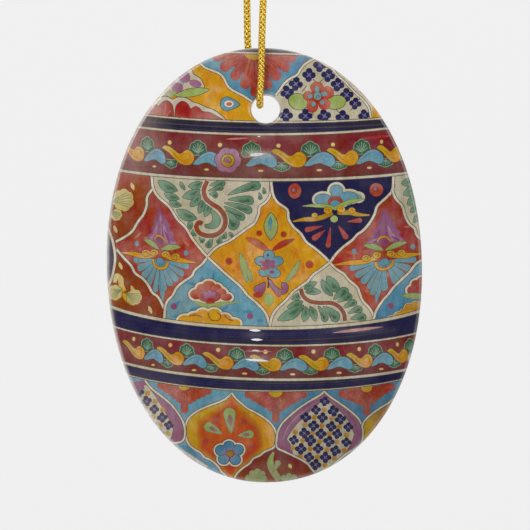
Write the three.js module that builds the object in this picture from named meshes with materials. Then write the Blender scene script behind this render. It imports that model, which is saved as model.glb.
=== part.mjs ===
// An oval porcelain hanging ornament: a flat glazed plate with one round hole near its top, hung from a
// thin gold cord that passes through the hole and is knotted into a loop.
// Millimetres, +Z up, +X to the right of the picture face, which looks along -Y.
// The origin is the hanging point: where a hook bears, inside the top of the loop and just under the knot.
import * as THREE from "three";

// Driving dimensions.
const PLATE_HEIGHT = 76.2;
const PLATE_WIDTH = 55.3;
const PLATE_THICKNESS = 3.2;
const OUTLINE_POWER = 2.11; // 2 is a true ellipse, and more is fuller at the shoulders
const OUTLINE_SIDES = 112;
const EDGE_RADIUS = 0.7;
const EDGE_STEPS = 3;
const LEAN = THREE.MathUtils.degToRad(-1.7); // the hole is off the long axis, so the plate hangs a little askew
const HOLE_RADIUS = 2.5;
const HOLE_SIDES = 32;
const HOLE_OFFSET = 1.03; // right of the plate's long axis
const HOLE_HEIGHT = 27.4; // above the plate's middle
const CORD_DIAMETER = 1.2;
const CORD_SIDES = 8;
const LOOP_STEPS = 76;
const TAIL_STEPS = 6;
const KNOT_RADIUS = 2.1;
const KNOT_HEIGHT = 4.6;
const KNOT_SIDES = 20;
const KNOT_BANDS = 8;
const KNOT_FLAT_RADIUS = 0.9; // the knot's ends are flat where the cord runs in and out
const GAP = 0.3; // between pieces that touch

// The cord bears on the hole's wall up and to the left of its middle; the plate turns about that point.
const BEARING = new THREE.Vector3(0.66, 0, -50);
const BEARING_TO_HOLE = new THREE.Vector3(1, 0, -1);

// The cord's way from the knot down the back, through the hole, and up the front to the knot again.
// In the hole it bends through half a circle, about the X direction.
const BEND_RADIUS = PLATE_THICKNESS / 2 + GAP + CORD_DIAMETER / 2;
const BEND_DEPTH = GAP; // how far the bend's lowest point lies under the bearing
const BEND_ANGLES = [30, 60, 90, 120, 150];
const BACK_STRAND = [
  [-0.68, 0.0, -0.6],
  [-1.0, 0.25, -5],
  [-1.5, 0.8, -12],
  [-1.75, 1.5, -20],
  [-1.7, 2.15, -27],
  [-1.6, 2.48, -34],
  [-1.5, 2.5, -39],
  [-1.05, 2.5, -43],
  [-0.3, 2.5, -46],
  [0.3, 2.5, -47.6],
];
const FRONT_STRAND = [
  [0.75, -2.5, -47.6],
  [0.85, -2.5, -46],
  [0.94, -2.5, -43],
  [1.0, -2.5, -39],
  [1.18, -2.48, -34],
  [1.45, -2.15, -27],
  [1.6, -1.5, -20],
  [1.4, -0.8, -12],
  [0.95, -0.25, -5],
  [0.68, 0.0, -0.6],
];
const TAILS = {
  cord_tail_left: [
    [-0.7, 0.1, 5.2],
    [-1.0, 0.3, 7.4],
    [-1.8, 0.5, 9.6],
    [-3.0, 0.6, 11.4],
  ],
  cord_tail_right: [
    [0.7, -0.1, 5.2],
    [0.9, -0.3, 7.6],
    [1.5, -0.5, 10.0],
    [2.3, -0.6, 12.4],
  ],
};

const porcelain = new THREE.MeshStandardMaterial({ color: 0xece8dc, roughness: 0.18, metalness: 0 });
const goldCord = new THREE.MeshStandardMaterial({ color: 0xd2a41f, roughness: 0.35, metalness: 0.85 });

// The plate's outline, smaller all round by inset.
function outline(inset) {
  const points = [];
  for (let i = 0; i < OUTLINE_SIDES; i++) {
    const turn = (2 * Math.PI * i) / OUTLINE_SIDES;
    const [c, s] = [Math.cos(turn), Math.sin(turn)];
    const x = Math.sign(c) * Math.abs(c) ** (2 / OUTLINE_POWER);
    const y = Math.sign(s) * Math.abs(s) ** (2 / OUTLINE_POWER);
    points.push(new THREE.Vector2((PLATE_WIDTH / 2 - inset) * x, (PLATE_HEIGHT / 2 - inset) * y));
  }
  return points;
}

// The plate with rounded edges, drawn flat and then stood up, with its middle at the group's origin.
function plateGeometry() {
  const shape = new THREE.Shape(outline(EDGE_RADIUS));
  const hole = new THREE.Path();
  hole.absarc(HOLE_OFFSET, HOLE_HEIGHT, HOLE_RADIUS + EDGE_RADIUS, 0, 2 * Math.PI, true);
  shape.holes.push(hole);
  const geometry = new THREE.ExtrudeGeometry(shape, {
    depth: PLATE_THICKNESS - 2 * EDGE_RADIUS,
    bevelEnabled: true,
    bevelThickness: EDGE_RADIUS,
    bevelSize: EDGE_RADIUS,
    bevelSegments: EDGE_STEPS,
    curveSegments: HOLE_SIDES,
  });
  geometry.translate(0, 0, EDGE_RADIUS - PLATE_THICKNESS / 2);
  geometry.rotateX(Math.PI / 2);
  return geometry;
}

// A cord's section, swept along a smooth curve through the points.
function cordGeometry(points, steps) {
  const section = new THREE.Shape();
  section.absarc(0, 0, CORD_DIAMETER / 2, 0, 2 * Math.PI, false);
  return new THREE.ExtrudeGeometry(section, {
    steps,
    bevelEnabled: false,
    curveSegments: CORD_SIDES,
    extrudePath: new THREE.CatmullRomCurve3(points, false, "centripetal"),
  });
}

// The points of the bend that takes the cord through the hole, from the back face to the front.
function bendPoints() {
  const middle = BEARING.z - BEND_DEPTH + BEND_RADIUS;
  return BEND_ANGLES.map((degrees) => {
    const turn = THREE.MathUtils.degToRad(degrees);
    return [BEARING.x, BEND_RADIUS * Math.cos(turn), middle - BEND_RADIUS * Math.sin(turn)];
  });
}

// The knot: a barrel with flat ends, standing just over the hanging point.
function knotGeometry() {
  const profile = [new THREE.Vector2(0, 0)];
  for (let i = 0; i <= KNOT_BANDS; i++) {
    const turn = (Math.PI * i) / KNOT_BANDS;
    const radius = KNOT_FLAT_RADIUS + (KNOT_RADIUS - KNOT_FLAT_RADIUS) * Math.sin(turn);
    profile.push(new THREE.Vector2(radius, (KNOT_HEIGHT / 2) * (1 - Math.cos(turn))));
  }
  profile.push(new THREE.Vector2(0, KNOT_HEIGHT));
  const geometry = new THREE.LatheGeometry(profile, KNOT_SIDES);
  geometry.rotateX(Math.PI / 2);
  return geometry;
}

function named(name, geometry, material) {
  const mesh = new THREE.Mesh(geometry, material);
  mesh.name = name;
  return mesh;
}

function vectors(points) {
  return points.map((p) => new THREE.Vector3(...p));
}

const ornament = new THREE.Group();

const plate = named("ornament_plate", plateGeometry(), porcelain);
const holeFromMiddle = new THREE.Vector3(HOLE_OFFSET, 0, HOLE_HEIGHT).applyAxisAngle(
  new THREE.Vector3(0, 1, 0),
  LEAN,
);
plate.rotation.y = LEAN;
plate.position.copy(BEARING).add(BEARING_TO_HOLE).sub(holeFromMiddle);
ornament.add(plate);

const loopRoute = vectors([...BACK_STRAND, ...bendPoints(), ...FRONT_STRAND]);
ornament.add(named("cord_loop", cordGeometry(loopRoute, LOOP_STEPS), goldCord));

const knot = named("cord_knot", knotGeometry(), goldCord);
knot.position.z = GAP / 2;
ornament.add(knot);

for (const [name, points] of Object.entries(TAILS)) {
  ornament.add(named(name, cordGeometry(vectors(points), TAIL_STEPS), goldCord));
}

export default ornament;
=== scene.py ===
"""An oval porcelain hanging ornament on a gold cord, with a picture of painted talavera pottery
printed over its front. Lengths are in millimetres, and MM turns them into the scene's metres."""
import math
import random

import bpy
import numpy as np
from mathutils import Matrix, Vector
from mathutils.geometry import delaunay_2d_cdt


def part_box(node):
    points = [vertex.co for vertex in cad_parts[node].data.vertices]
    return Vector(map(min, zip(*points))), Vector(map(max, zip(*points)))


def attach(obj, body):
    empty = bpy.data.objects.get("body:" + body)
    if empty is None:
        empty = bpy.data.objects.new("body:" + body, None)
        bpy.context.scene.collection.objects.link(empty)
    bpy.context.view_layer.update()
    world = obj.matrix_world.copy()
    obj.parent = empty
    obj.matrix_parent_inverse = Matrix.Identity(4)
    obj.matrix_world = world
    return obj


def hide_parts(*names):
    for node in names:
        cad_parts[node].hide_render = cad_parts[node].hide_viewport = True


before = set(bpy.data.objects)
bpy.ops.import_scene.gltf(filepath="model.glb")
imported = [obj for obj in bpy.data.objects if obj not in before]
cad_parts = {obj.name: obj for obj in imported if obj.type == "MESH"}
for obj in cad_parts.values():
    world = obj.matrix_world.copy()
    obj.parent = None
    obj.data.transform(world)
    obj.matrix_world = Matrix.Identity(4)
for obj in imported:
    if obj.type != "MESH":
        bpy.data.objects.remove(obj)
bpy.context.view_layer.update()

MM = 0.001
SEED = 7

# ---------------------------------------------------------------- driving dimensions

PLATE_LOW, PLATE_HIGH = (np.array(corner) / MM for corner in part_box("ornament_plate"))
PLATE_MIDDLE = (PLATE_LOW + PLATE_HIGH) / 2
THICKNESS = PLATE_HIGH[1] - PLATE_LOW[1]
PLATE_HEIGHT = 76.2
PLATE_WIDTH = 55.3
OUTLINE_POWER = 2.11  # 2 is an ellipse, and more is squarer
OUTLINE_STEPS = 240
LEAN = math.radians(-1.7)  # how far the plate hangs off upright
EDGE_RADIUS = 0.7
HOLE_RADIUS = 2.5
HOLE_STEPS = 64
HOLE_OFFSET = 1.03  # the hole's middle, from the plate's middle, when the plate is upright
HOLE_HEIGHT = 27.4
CORD_DIAMETER = 1.2

VIEW_WIDTH = 92.75  # how much the camera sees across, at the plate
VIEW_OFFSET = (0.11, 0.04)  # the view's middle from the plate's middle
LENS = 135.0
SENSOR_WIDTH = 36.0

# The cord's route, as the CAD model has it.
BEARING = (0.66, 0.0, -50.0)
BEND_RADIUS = 2.5
BEND_DEPTH = 0.3
STRAND_OFFSET = 0.36  # where each strand enters the knot, to the side of its middle
LOOP_TOP = 0.5
BACK_STRAND = [
    (-0.68, 0.0, -0.6), (-1.0, 0.25, -5), (-1.5, 0.8, -12), (-1.75, 1.5, -20), (-1.7, 2.15, -27),
    (-1.6, 2.48, -34), (-1.5, 2.5, -39), (-1.05, 2.5, -43), (-0.3, 2.5, -46), (0.3, 2.5, -47.6),
]
FRONT_STRAND = [
    (0.75, -2.5, -47.6), (0.85, -2.5, -46), (0.94, -2.5, -43), (1.0, -2.5, -39), (1.18, -2.48, -34),
    (1.45, -2.15, -27), (1.6, -1.5, -20), (1.4, -0.8, -12), (0.95, -0.25, -5), (0.68, 0.0, -0.6),
]
TAIL_START = (0.4, 4.0)  # inside the knot: how far to the side, and how high
TAIL_LEFT = [(-0.7, 0.1, 5.2), (-1.0, 0.3, 7.4), (-1.8, 0.5, 9.6), (-3.0, 0.6, 11.4)]
TAIL_RIGHT = [(0.7, -0.1, 5.2), (0.9, -0.3, 7.6), (1.5, -0.5, 10.0), (2.3, -0.6, 12.4)]

# ---------------------------------------------------------------- curves and outlines


def spline(points, spans=6, closed=False):
    """A smooth Catmull-Rom line through the points, with so many steps from each to the next."""
    p = [np.array(q, float) for q in points]
    p = [p[-1], *p, p[0], p[1]] if closed else [2 * p[0] - p[1], *p, 2 * p[-1] - p[-2]]
    line = []
    for a, b, c, d in zip(p, p[1:], p[2:], p[3:]):
        for i in range(spans):
            t = i / spans
            square, cube = 2 * a - 5 * b + 4 * c - d, 3 * b - a - 3 * c + d
            line.append(0.5 * (2 * b + (c - a) * t + square * t**2 + cube * t**3))
    if not closed:
        line.append(p[-2])
    return np.array(line)


def even(line, step):
    """The line's points again, an even step apart."""
    lengths = np.r_[0, np.cumsum(np.linalg.norm(np.diff(line, axis=0), axis=1))]
    count = max(2, round(lengths[-1] / step))
    at = np.linspace(0, lengths[-1], count + 1)
    return np.stack([np.interp(at, lengths, line[:, k]) for k in range(line.shape[1])], axis=1)


def turned(points, angle):
    """Flat points turned about zero, from x towards z."""
    c, s = math.cos(angle), math.sin(angle)
    return np.asarray(points) @ np.array([[c, s], [-s, c]])


def oval(x, z, rx, rz, turn=0.0, steps=20):
    """An ellipse, turned by so many degrees."""
    t = np.linspace(0, 2 * np.pi, steps, endpoint=False)
    ring = np.stack([rx * np.cos(t), rz * np.sin(t)], axis=1)
    return turned(ring, math.radians(turn)) + (x, z)


def blossom(x, z, rx, rz, petals, depth=0.25, turn=0.0):
    """A lobed round, as of a flower seen from the front."""
    t = np.linspace(0, 2 * np.pi, 8 * petals, endpoint=False)
    r = 1 - depth + depth * np.abs(np.sin(petals * t / 2)) ** 0.7
    ring = np.stack([rx * r * np.cos(t), rz * r * np.sin(t)], axis=1)
    return turned(ring, math.radians(turn)) + (x, z)


def along(x0, z0, x1, z1, half_widths, bend):
    """A closed outline about the line from the first point to the second."""
    t = np.linspace(0, 1, len(half_widths))
    axis = np.array([x1 - x0, z1 - z0])
    side = np.array([-axis[1], axis[0]]) / max(np.hypot(*axis), 1e-6)
    middle = np.array([x0, z0]) + t[:, None] * axis + (bend * np.sin(np.pi * t))[:, None] * side
    offset = np.asarray(half_widths)[:, None] * side
    return np.concatenate([middle + offset, (middle - offset)[::-1]])


def leaf(x0, z0, x1, z1, width, bend=0.0):
    """An almond from tip to tip."""
    t = np.linspace(0, 1, 11)
    return along(x0, z0, x1, z1, width / 2 * np.sin(np.pi * t) ** 0.8, bend)


def drop(x0, z0, x1, z1, width, bend=0.0):
    """A petal, pointed at its start and round at its end."""
    length = max(math.hypot(x1 - x0, z1 - z0), 1e-6)
    start = max(1 - width / 2 / length, 0.3)
    t = np.r_[np.linspace(0, start, 8)[:-1], start + (1 - start) * np.sin(np.linspace(0, np.pi / 2, 6))]
    past = np.clip((t - start) / (1 - start), 0, 1)
    half = width / 2 * np.where(t < start, (t / start) ** 0.7, np.sqrt(1 - past**2))
    side = np.array([z0 - z1, x1 - x0]) / length
    middle = np.array([x0, z0]) + t[:, None] * (x1 - x0, z1 - z0) + (bend * np.sin(np.pi * t))[:,
                                                                                               None] * side
    offset = half[:, None] * side
    return np.concatenate([middle + offset, (middle - offset)[::-1]])


def stroke(points, width, ends=(1.0, 1.0), closed=False):
    """A brush line through the points; ends are its widths at the start and end, as parts of the width."""
    line = spline(points, 4, closed)
    ahead = np.roll(line, -1, axis=0) - np.roll(line, 1, axis=0)
    if not closed:
        ahead[0] = line[1] - line[0]
        ahead[-1] = line[-1] - line[-2]
    side = np.stack([-ahead[:, 1], ahead[:, 0]], axis=1) / np.linalg.norm(ahead, axis=1)[:, None]
    t = np.linspace(0, 1, len(line))
    half = width / 2 * np.minimum(1, np.interp(t, [0, 0.35, 0.65, 1], [ends[0], 1, 1, ends[1]]))
    return np.concatenate([line + side * half[:, None], (line - side * half[:, None])[::-1]])


def grown(outline, by):
    """The closed outline moved outwards all round."""
    after = np.roll(outline, -1, axis=0) - outline
    before = outline - np.roll(outline, 1, axis=0)
    x, z = outline[:, 0], outline[:, 1]
    turn = np.sum(x * np.roll(z, -1) - z * np.roll(x, -1))
    ahead = after / (np.linalg.norm(after, axis=1)[:, None] + 1e-9)
    ahead = ahead + before / (np.linalg.norm(before, axis=1)[:, None] + 1e-9)
    side = np.stack([ahead[:, 1], -ahead[:, 0]], axis=1)
    side /= np.linalg.norm(side, axis=1)[:, None] + 1e-9
    return outline + np.sign(turn) * by * side


def plate_outline(inset):
    """The plate's outline about its middle, smaller all round by inset."""
    t = np.linspace(0, 2 * np.pi, OUTLINE_STEPS, endpoint=False)
    c, s = np.cos(t), np.sin(t)
    x = (PLATE_WIDTH / 2 - inset) * np.sign(c) * np.abs(c) ** (2 / OUTLINE_POWER)
    z = (PLATE_HEIGHT / 2 - inset) * np.sign(s) * np.abs(s) ** (2 / OUTLINE_POWER)
    return turned(np.stack([x, z], axis=1), -LEAN)


HOLE = turned([HOLE_OFFSET, HOLE_HEIGHT], -LEAN)


def depth_inside(points):
    """How far each point lies inside the plate's nearest edge, its outline or its hole."""
    p = turned(points, LEAN)
    a = np.abs(p / (PLATE_WIDTH / 2, PLATE_HEIGHT / 2)) + 1e-9
    g = (a[:, 0] ** OUTLINE_POWER + a[:, 1] ** OUTLINE_POWER) ** (1 / OUTLINE_POWER)
    slope = (a / g[:, None]) ** (OUTLINE_POWER - 1) / (PLATE_WIDTH / 2, PLATE_HEIGHT / 2)
    from_edge = (1 - g) / np.linalg.norm(slope, axis=1)
    from_hole = np.linalg.norm(points - HOLE, axis=1) - HOLE_RADIUS
    return np.minimum(from_edge, from_hole)


def half_thickness(points):
    """The height of the plate's face over its middle plane, less near its rounded edges."""
    fall = np.clip(EDGE_RADIUS - depth_inside(points), 0, EDGE_RADIUS)
    return THICKNESS / 2 - EDGE_RADIUS + np.sqrt(EDGE_RADIUS**2 - fall**2)


# ---------------------------------------------------------------- the picture's colours

COLOURS = {
    "white": (236, 232, 224), "cream": (186, 176, 155), "pale_cream": (200, 190, 170),
    "field": (178, 170, 146), "ink": (74, 66, 54), "navy": (27, 24, 62), "navy_brown": (38, 30, 44),
    "maroon": (116, 50, 50), "maroon_low": (98, 50, 44), "sky": (100, 144, 160), "sky_deep": (78, 124, 150),
    "sky_grey": (112, 142, 148), "orange": (198, 142, 40), "orange_deep": (192, 128, 36),
    "yellow": (182, 146, 54), "gold": (190, 142, 58), "red": (162, 84, 70), "red_deep": (146, 64, 54),
    "red_light": (176, 106, 88), "brick": (142, 68, 46), "brick_deep": (130, 66, 40), "rust": (170, 80, 40),
    "ember": (178, 76, 36), "coral": (158, 78, 70), "pink": (176, 132, 126), "sage": (122, 148, 124),
    "sage_mid": (88, 120, 98), "sage_low": (74, 102, 80), "sage_deep": (66, 86, 64),
    "green": (146, 161, 96), "green_deep": (58, 88, 66), "moss": (100, 122, 98), "purple": (140, 92, 116),
    "violet": (156, 118, 136), "magenta": (132, 76, 104), "stem": (136, 82, 64), "ochre": (158, 116, 44),
    "pale_green": (140, 147, 102), "shell": (196, 178, 122), "shell_low": (172, 156, 104),
    "amber": (192, 120, 36), "orange_pale": (196, 142, 48), "plum": (126, 72, 112),
    "turquoise": (112, 144, 144), "dusk": (44, 42, 84), "lilac": (116, 112, 142), "haze": (214, 196, 188),
    "glint": (232, 236, 240),
}


def linear(rgb):
    """An sRGB colour of 0 to 255 as linear light."""
    c = np.asarray(rgb, float) / 255
    return np.where(c <= 0.04045, c / 12.92, ((c + 0.055) / 1.055) ** 2.4)


def down(x, z, r):
    """Where a colour starts and ends that runs from the top of a round shape to its foot."""
    return (x, z + r), (x, z - r)


class Picture:
    """Flat closed shapes, each lying over those before it."""

    def __init__(self):
        self.shapes = []

    def add(self, outline, colour, to=None, ends=None):
        """One shape. Its colour may run into a second one, from the first of two points to the other."""
        self.shapes.append((np.asarray(outline, float), colour, to, ends))

    def edged(self, outline, colour, to=None, ends=None, edge="ink", by=0.13):
        """One shape with a thin line round it."""
        outline = np.asarray(outline, float)
        self.add(grown(outline, by), edge)
        self.add(outline, colour, to, ends)

    def cluster(self, rounds, colour, to, edge="ink", by=0.1, halo=0.0):
        """Overlapping ovals that read as one shape, with one line round them and a pale halo if asked."""
        if halo:
            for x, z, rx, rz in rounds:
                self.add(oval(x, z, rx + halo + 0.12, rz + halo + 0.12), "ink")
            for x, z, rx, rz in rounds:
                self.add(oval(x, z, rx + halo, rz + halo), "pale_cream")
        for x, z, rx, rz in rounds:
            self.add(oval(x, z, rx + by, rz + by), edge)
        for x, z, rx, rz in rounds:
            self.add(oval(x, z, rx, rz), colour, to, ((x - 0.5 * rx, z + rz), (x + 0.5 * rx, z - rz)))

    def soft(self, outline, colour, to, depth, steps=6):
        """One shape that runs from one colour at its edge into another, so deep inside it."""
        first, last = np.array(COLOURS[colour], float), np.array(COLOURS[to], float)
        for k in range(1, steps + 1):
            part = k / steps
            self.add(grown(outline, -depth * (part - 0.5)), tuple(first + (last - first) * part))

    def line(self, points, width, colour, ends=(1.0, 1.0)):
        """A brush line, as stroke makes it."""
        self.add(stroke(points, width, ends), colour)

    def leaf(self, x0, z0, x1, z1, width, colour, to, bend=0.0, edge="ink", by=0.1):
        """A leaf that runs from one colour at its first tip into another."""
        self.edged(leaf(x0, z0, x1, z1, width, bend), colour, to, ((x0, z0), (x1, z1)), edge, by)

    def border(self, points, width=0.42, colour="pale_cream", shade=0.11):
        """A painted cream line with a thin dark line on each side."""
        self.line(points, width + 2 * shade, "ink")
        self.line(points, width, colour)


# ---------------------------------------------------------------- the pot's own geometry
# The picture is of a round pot. Its bands sag in the middle, and what lies to the sides is narrower.

AXIS = 0.64  # the pot's middle line
REACH = 31.0  # the pot's own half width
REACH_SEEN = 0.97  # the part of it that levels are worked out for
SIDE = 29.0  # past the plate's edge on both sides


def around(angle):
    """Where a place on the pot, so many degrees round from its front, comes across the picture."""
    return AXIS + REACH * math.sin(math.radians(angle))


class Level:
    """One level line round the pot: its height in the middle, its sag, and its tilt."""

    def __init__(self, height, sag, tilt=0.0):
        self.height, self.sag, self.tilt = height, sag, tilt

    def at(self, x):
        """Its height at x."""
        turn = np.arcsin(np.clip((np.asarray(x, float) - AXIS) / REACH, -REACH_SEEN, REACH_SEEN))
        return self.height + self.sag * (1 - np.cos(turn)) - self.tilt * np.asarray(x, float)

    def raised(self, by):
        """The same line, higher by so much."""
        return Level(self.height + by, self.sag, self.tilt)

    def slope(self, x):
        """How steep it is at x."""
        return float(self.at(x + 0.5) - self.at(x - 0.5))


def band(upper, lower):
    """The stretch of pot between two levels."""
    x = np.linspace(-SIDE, SIDE, 40)
    return np.concatenate([np.stack([x, upper.at(x)], axis=1), np.stack([x, lower.at(x)], axis=1)[::-1]])


def stripe(picture, level, width, colour="cream", shade=0.12):
    """A line of colour along a level, with a thin dark line on each side."""
    picture.add(band(level.raised(width / 2 + shade), level.raised(-width / 2 - shade)), "ink")
    picture.add(band(level.raised(width / 2), level.raised(-width / 2)), colour)


def set_at(points, x, z, sx=1.0, sz=1.0, slope=0.0):
    """A motif's own points, put at a place in the picture, stretched and sloped."""
    p = np.asarray(points, float) * (sx, sz)
    return np.stack([x + p[:, 0], z + p[:, 1] + slope * p[:, 0]], axis=1)


CAP_LINE = Level(37.08, 0.0, 0.03)
NECK_TOP = Level(25.05, 3.7, 0.01)
NECK_FOOT = Level(22.9, 4.0)
UPPER_TOP = Level(22.45, 4.0)
LATTICE_TOP = Level(14.95, 3.4, 0.004)
LATTICE_FOOT = Level(-11.0, 6.6, 0.008)
LOWER_TOP = Level(-14.05, 5.7, 0.016)
LOWER_FOOT = Level(-20.0, 5.9, 0.019)
SKIRT_TOP = Level(-22.0, 6.6, 0.01)


# ---------------------------------------------------------------- bands with garlands
# SCROLL is an orange scroll with its tail to the left, and HUMP a blue one. Each has a curl and a streak.

SCROLL = [
    (-4.0, 1.2), (-3.5, 1.5), (-2.85, 1.38), (-2.1, 0.92), (-1.45, 0.5), (-0.95, 0.52), (-0.4, 0.94),
    (0.3, 0.98), (0.9, 0.5), (1.02, -0.2), (0.6, -0.88), (-0.1, -1.1), (-0.95, -0.98), (-1.75, -0.52),
    (-2.4, 0.05), (-2.95, 0.55), (-3.5, 0.86),
]
SCROLL_LINES = (
    [(-1.1, -0.25), (-0.85, 0.3), (-0.3, 0.55), (0.3, 0.35), (0.35, -0.15), (0.0, -0.35)],
    [(-3.3, 1.15), (-2.2, 0.45), (-1.3, -0.3), (-0.4, -0.7)],
)
HUMP = [
    (-2.45, -0.9), (-1.85, -0.2), (-1.0, 0.5), (0.0, 0.92), (1.05, 0.76), (1.8, 0.1), (1.95, -0.7),
    (1.35, -1.12), (0.6, -0.9), (-0.1, -0.62), (-0.9, -0.7), (-1.7, -0.98),
]
HUMP_LINES = (
    [(1.3, 0.1), (0.8, 0.35), (0.35, 0.0), (0.55, -0.4), (1.0, -0.35)],
    [(-1.7, -0.5), (-0.9, 0.1), (0.0, 0.5), (0.8, 0.55)],
)
SCROLL_LINE_WIDTHS = (0.14, 0.18)
CLUSTER_LEAVES = (-78, -42, 0, 42, 78)  # degrees from upright
CLUSTER_VEINS = (-70, -48, -25, 0, 24, 46, 70)


def scroll(picture, outline, lines, x, z, sx, sz, slope, colours, dark):
    """A brush-painted scroll with a round head: its outline, two colours, and a curl and a streak on it."""
    ends = ((x - 2 * sx, z + sz), (x + sx, z - 0.8 * sz))
    picture.edged(set_at(spline(outline, 3, closed=True), x, z, sx, sz, slope), *colours, ends, "ink", 0.1)
    for line, width in zip(lines, SCROLL_LINE_WIDTHS):
        picture.line(set_at(line, x, z, sx, sz, slope), width, dark, (0.3, 0.5))


def leaf_cluster(picture, x, z, sx, sz, slope=0.0):
    """Dark green leaves spread like a fan above a short stalk, with a pale line round them."""
    def tip_at(turn, wide, high):
        return wide * math.sin(math.radians(turn)), -0.35 + high * math.cos(math.radians(turn))

    for by, colour in ((0.12, "sage"), (0.0, "green_deep")):
        for turn in CLUSTER_LEAVES:
            petal = drop(0, -0.6, *tip_at(turn, 1.0, 1.25), 0.95)
            picture.add(grown(set_at(petal, x, z, sx, sz, slope), by), colour)
    for turn in CLUSTER_VEINS:
        tip = tip_at(turn, 0.75, 0.95)
        line = stroke([(0, -0.5), tip], 0.1, (0.5, 1))
        picture.add(set_at(line, x, z, sx, sz, slope), "sage" if turn % 2 == 0 else "moss")


def garland(picture, level, first, pitch, count, size, dots, skip=()):
    """Blue and orange scrolls in turn along a level, with leaves above and below and dots between.
    dots is how far before an orange scroll the dot above it lies, as a part of the pitch."""
    def place(angle, rise):
        x = around(angle)
        return x, float(level.at(x)) + rise * size

    angles = [first + pitch * k + random.uniform(-0.7, 0.7) for k in range(count)]
    for k, angle in enumerate(angles):
        wide = size * math.cos(math.radians(angle))
        slope = level.slope(around(angle))
        leaf_cluster(picture, *place(angle + 0.2 * pitch, 1.3), 1.34 * wide, 1.3 * size, slope)
        leaf_cluster(picture, *place(angle + 0.72 * pitch, -1.0), 1.25 * wide, -0.7 * size, slope)
        scroll(picture, HUMP, HUMP_LINES, *place(angle + 0.4 * pitch, 0.0), wide, size, slope,
               ("sky_grey", "sky"), "sky_deep")
        dot = place(angle - dots * pitch, 1.95)
        picture.edged(oval(*dot, 0.36 * wide / size, 0.34), "shell", edge="stem", by=0.12)
        dot = place(angle + 0.36 * pitch, -1.6)
        picture.edged(oval(*dot, 0.45 * wide / size, 0.17), "shell", edge="stem", by=0.1)
    for k, angle in enumerate(angles):
        if k not in skip:
            wide = size * math.cos(math.radians(angle))
            scroll(picture, SCROLL, SCROLL_LINES, *place(angle, 0.0), wide, size, level.slope(around(angle)),
                   ("yellow", "orange_deep"), "ochre")


def glints(picture, places):
    """Short light brush lines, painted where the pot's glaze shone."""
    for x0, z0, x1, z1, width, colour in places:
        picture.add(leaf(x0, z0, x1, z1, width), colour)


def upper_band(picture):
    """The maroon band between the neck and the lattice, with a garland and one violet flower."""
    picture.add(band(UPPER_TOP.raised(0.3), LATTICE_TOP), "maroon", "maroon_low", ((0, 21), (0, 15)))
    middle = Level(18.5, 3.2, 0.002)
    garland(picture, middle, first=-46.0, pitch=18.6, count=6, size=1.24, dots=0.36, skip=(2,))
    picture.edged(blossom(-6.4, 18.4, 2.35, 2.2, 6, 0.14, 20), "violet", "purple", ((-6, 20), (-6, 16)),
                  by=0.1)
    for turn in range(0, 360, 60):
        petal = turned([(1.0, 0), (2.0, 0.0)], math.radians(turn + 50)) + (-6.4, 18.4)
        picture.line(petal, 0.1, "purple")
    picture.edged(oval(-6.4, 18.3, 1.15, 1.1), "yellow", "ochre", ((-6.4, 19.3), (-6.4, 17.3)))
    picture.line([(-7.1, 18.0), (-6.9, 18.8), (-6.1, 18.9), (-5.8, 18.2), (-6.3, 17.9)], 0.16, "ink")
    picture.add(oval(-6.5, 18.3, 0.45, 0.45), "purple")
    glints(picture, [
        (-1.3, 22.75, -0.7, 22.5, 0.35, "glint"), (-2.6, 19.25, -0.1, 19.5, 0.55, "glint"),
        (-6.9, 22.05, -2.8, 22.25, 0.3, "pink"), (16.9, 22.2, 22.6, 22.7, 0.5, "coral"),
        (-2.7, 21.9, -1.2, 21.7, 0.5, "red"),
    ])


def lower_band(picture):
    """The narrower maroon band under the lattice, with its garland."""
    picture.add(band(LOWER_TOP, LOWER_FOOT), "maroon", "maroon_low", ((0, -15.5), (0, -20)))
    middle = Level(-17.3, 5.4, 0.017)
    garland(picture, middle, first=-45.9, pitch=16.0, count=7, size=1.1, dots=0.19)
    picture.edged(oval(25.6, -16.2, 0.5, 0.85), "cream", edge="moss", by=0.1)


def navy_bands(picture):
    """The three navy bands, their brush streaks, and the cream lines that edge every band."""
    picture.add(band(NECK_TOP, NECK_FOOT), "navy_brown", "navy", ((0, 25), (0, 23.4)))
    picture.add(band(NECK_TOP.raised(-0.95), NECK_TOP.raised(-1.1)), "navy_brown")
    stripe(picture, NECK_TOP.raised(-1.05), 0.14, "ink", 0.0)
    picture.add(band(LATTICE_FOOT.raised(-0.3), LOWER_TOP), "navy", "navy_brown", ((0, -11.5), (0, -14.6)))
    picture.add(band(LOWER_FOOT, SKIRT_TOP), "navy", "navy_brown", ((0, -20.4), (0, -22.4)))
    for level, count in ((LATTICE_FOOT.raised(-0.8), 5), (LOWER_FOOT.raised(-0.5), 3),
                         (NECK_TOP.raised(-0.4), 4)):
        for k in range(count):
            x = np.linspace(random.uniform(-28, 0), random.uniform(4, 28), 12)
            streak = level.raised(-0.42 * k - random.uniform(0, 0.2))
            line = stroke(np.stack([x, streak.at(x)], axis=1), 0.13, (0.2, 0.2))
            picture.add(line, random.choice(("dusk", "ink")))
    for level, width in ((NECK_TOP, 0.24), (NECK_FOOT, 0.34), (LATTICE_TOP, 0.42), (LATTICE_FOOT, 0.5),
                         (LOWER_TOP, 0.26), (LOWER_FOOT, 0.42), (SKIRT_TOP, 0.14)):
        stripe(picture, level, width)
    glints(picture, [
        (-2.7, -11.35, -0.6, -11.45, 0.4, "glint"), (-2.4, -13.0, -0.3, -13.05, 0.4, "glint"),
        (11.8, -11.85, 20.9, -10.75, 0.55, "pink"), (-2.2, -14.9, -0.4, -15.1, 0.35, "glint"),
        (-3.4, -16.5, 0.8, -16.75, 0.4, "glint"), (-3.6, -15.0, 1.5, -15.1, 0.2, "pink"),
    ])


# ---------------------------------------------------------------- the neck

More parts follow.
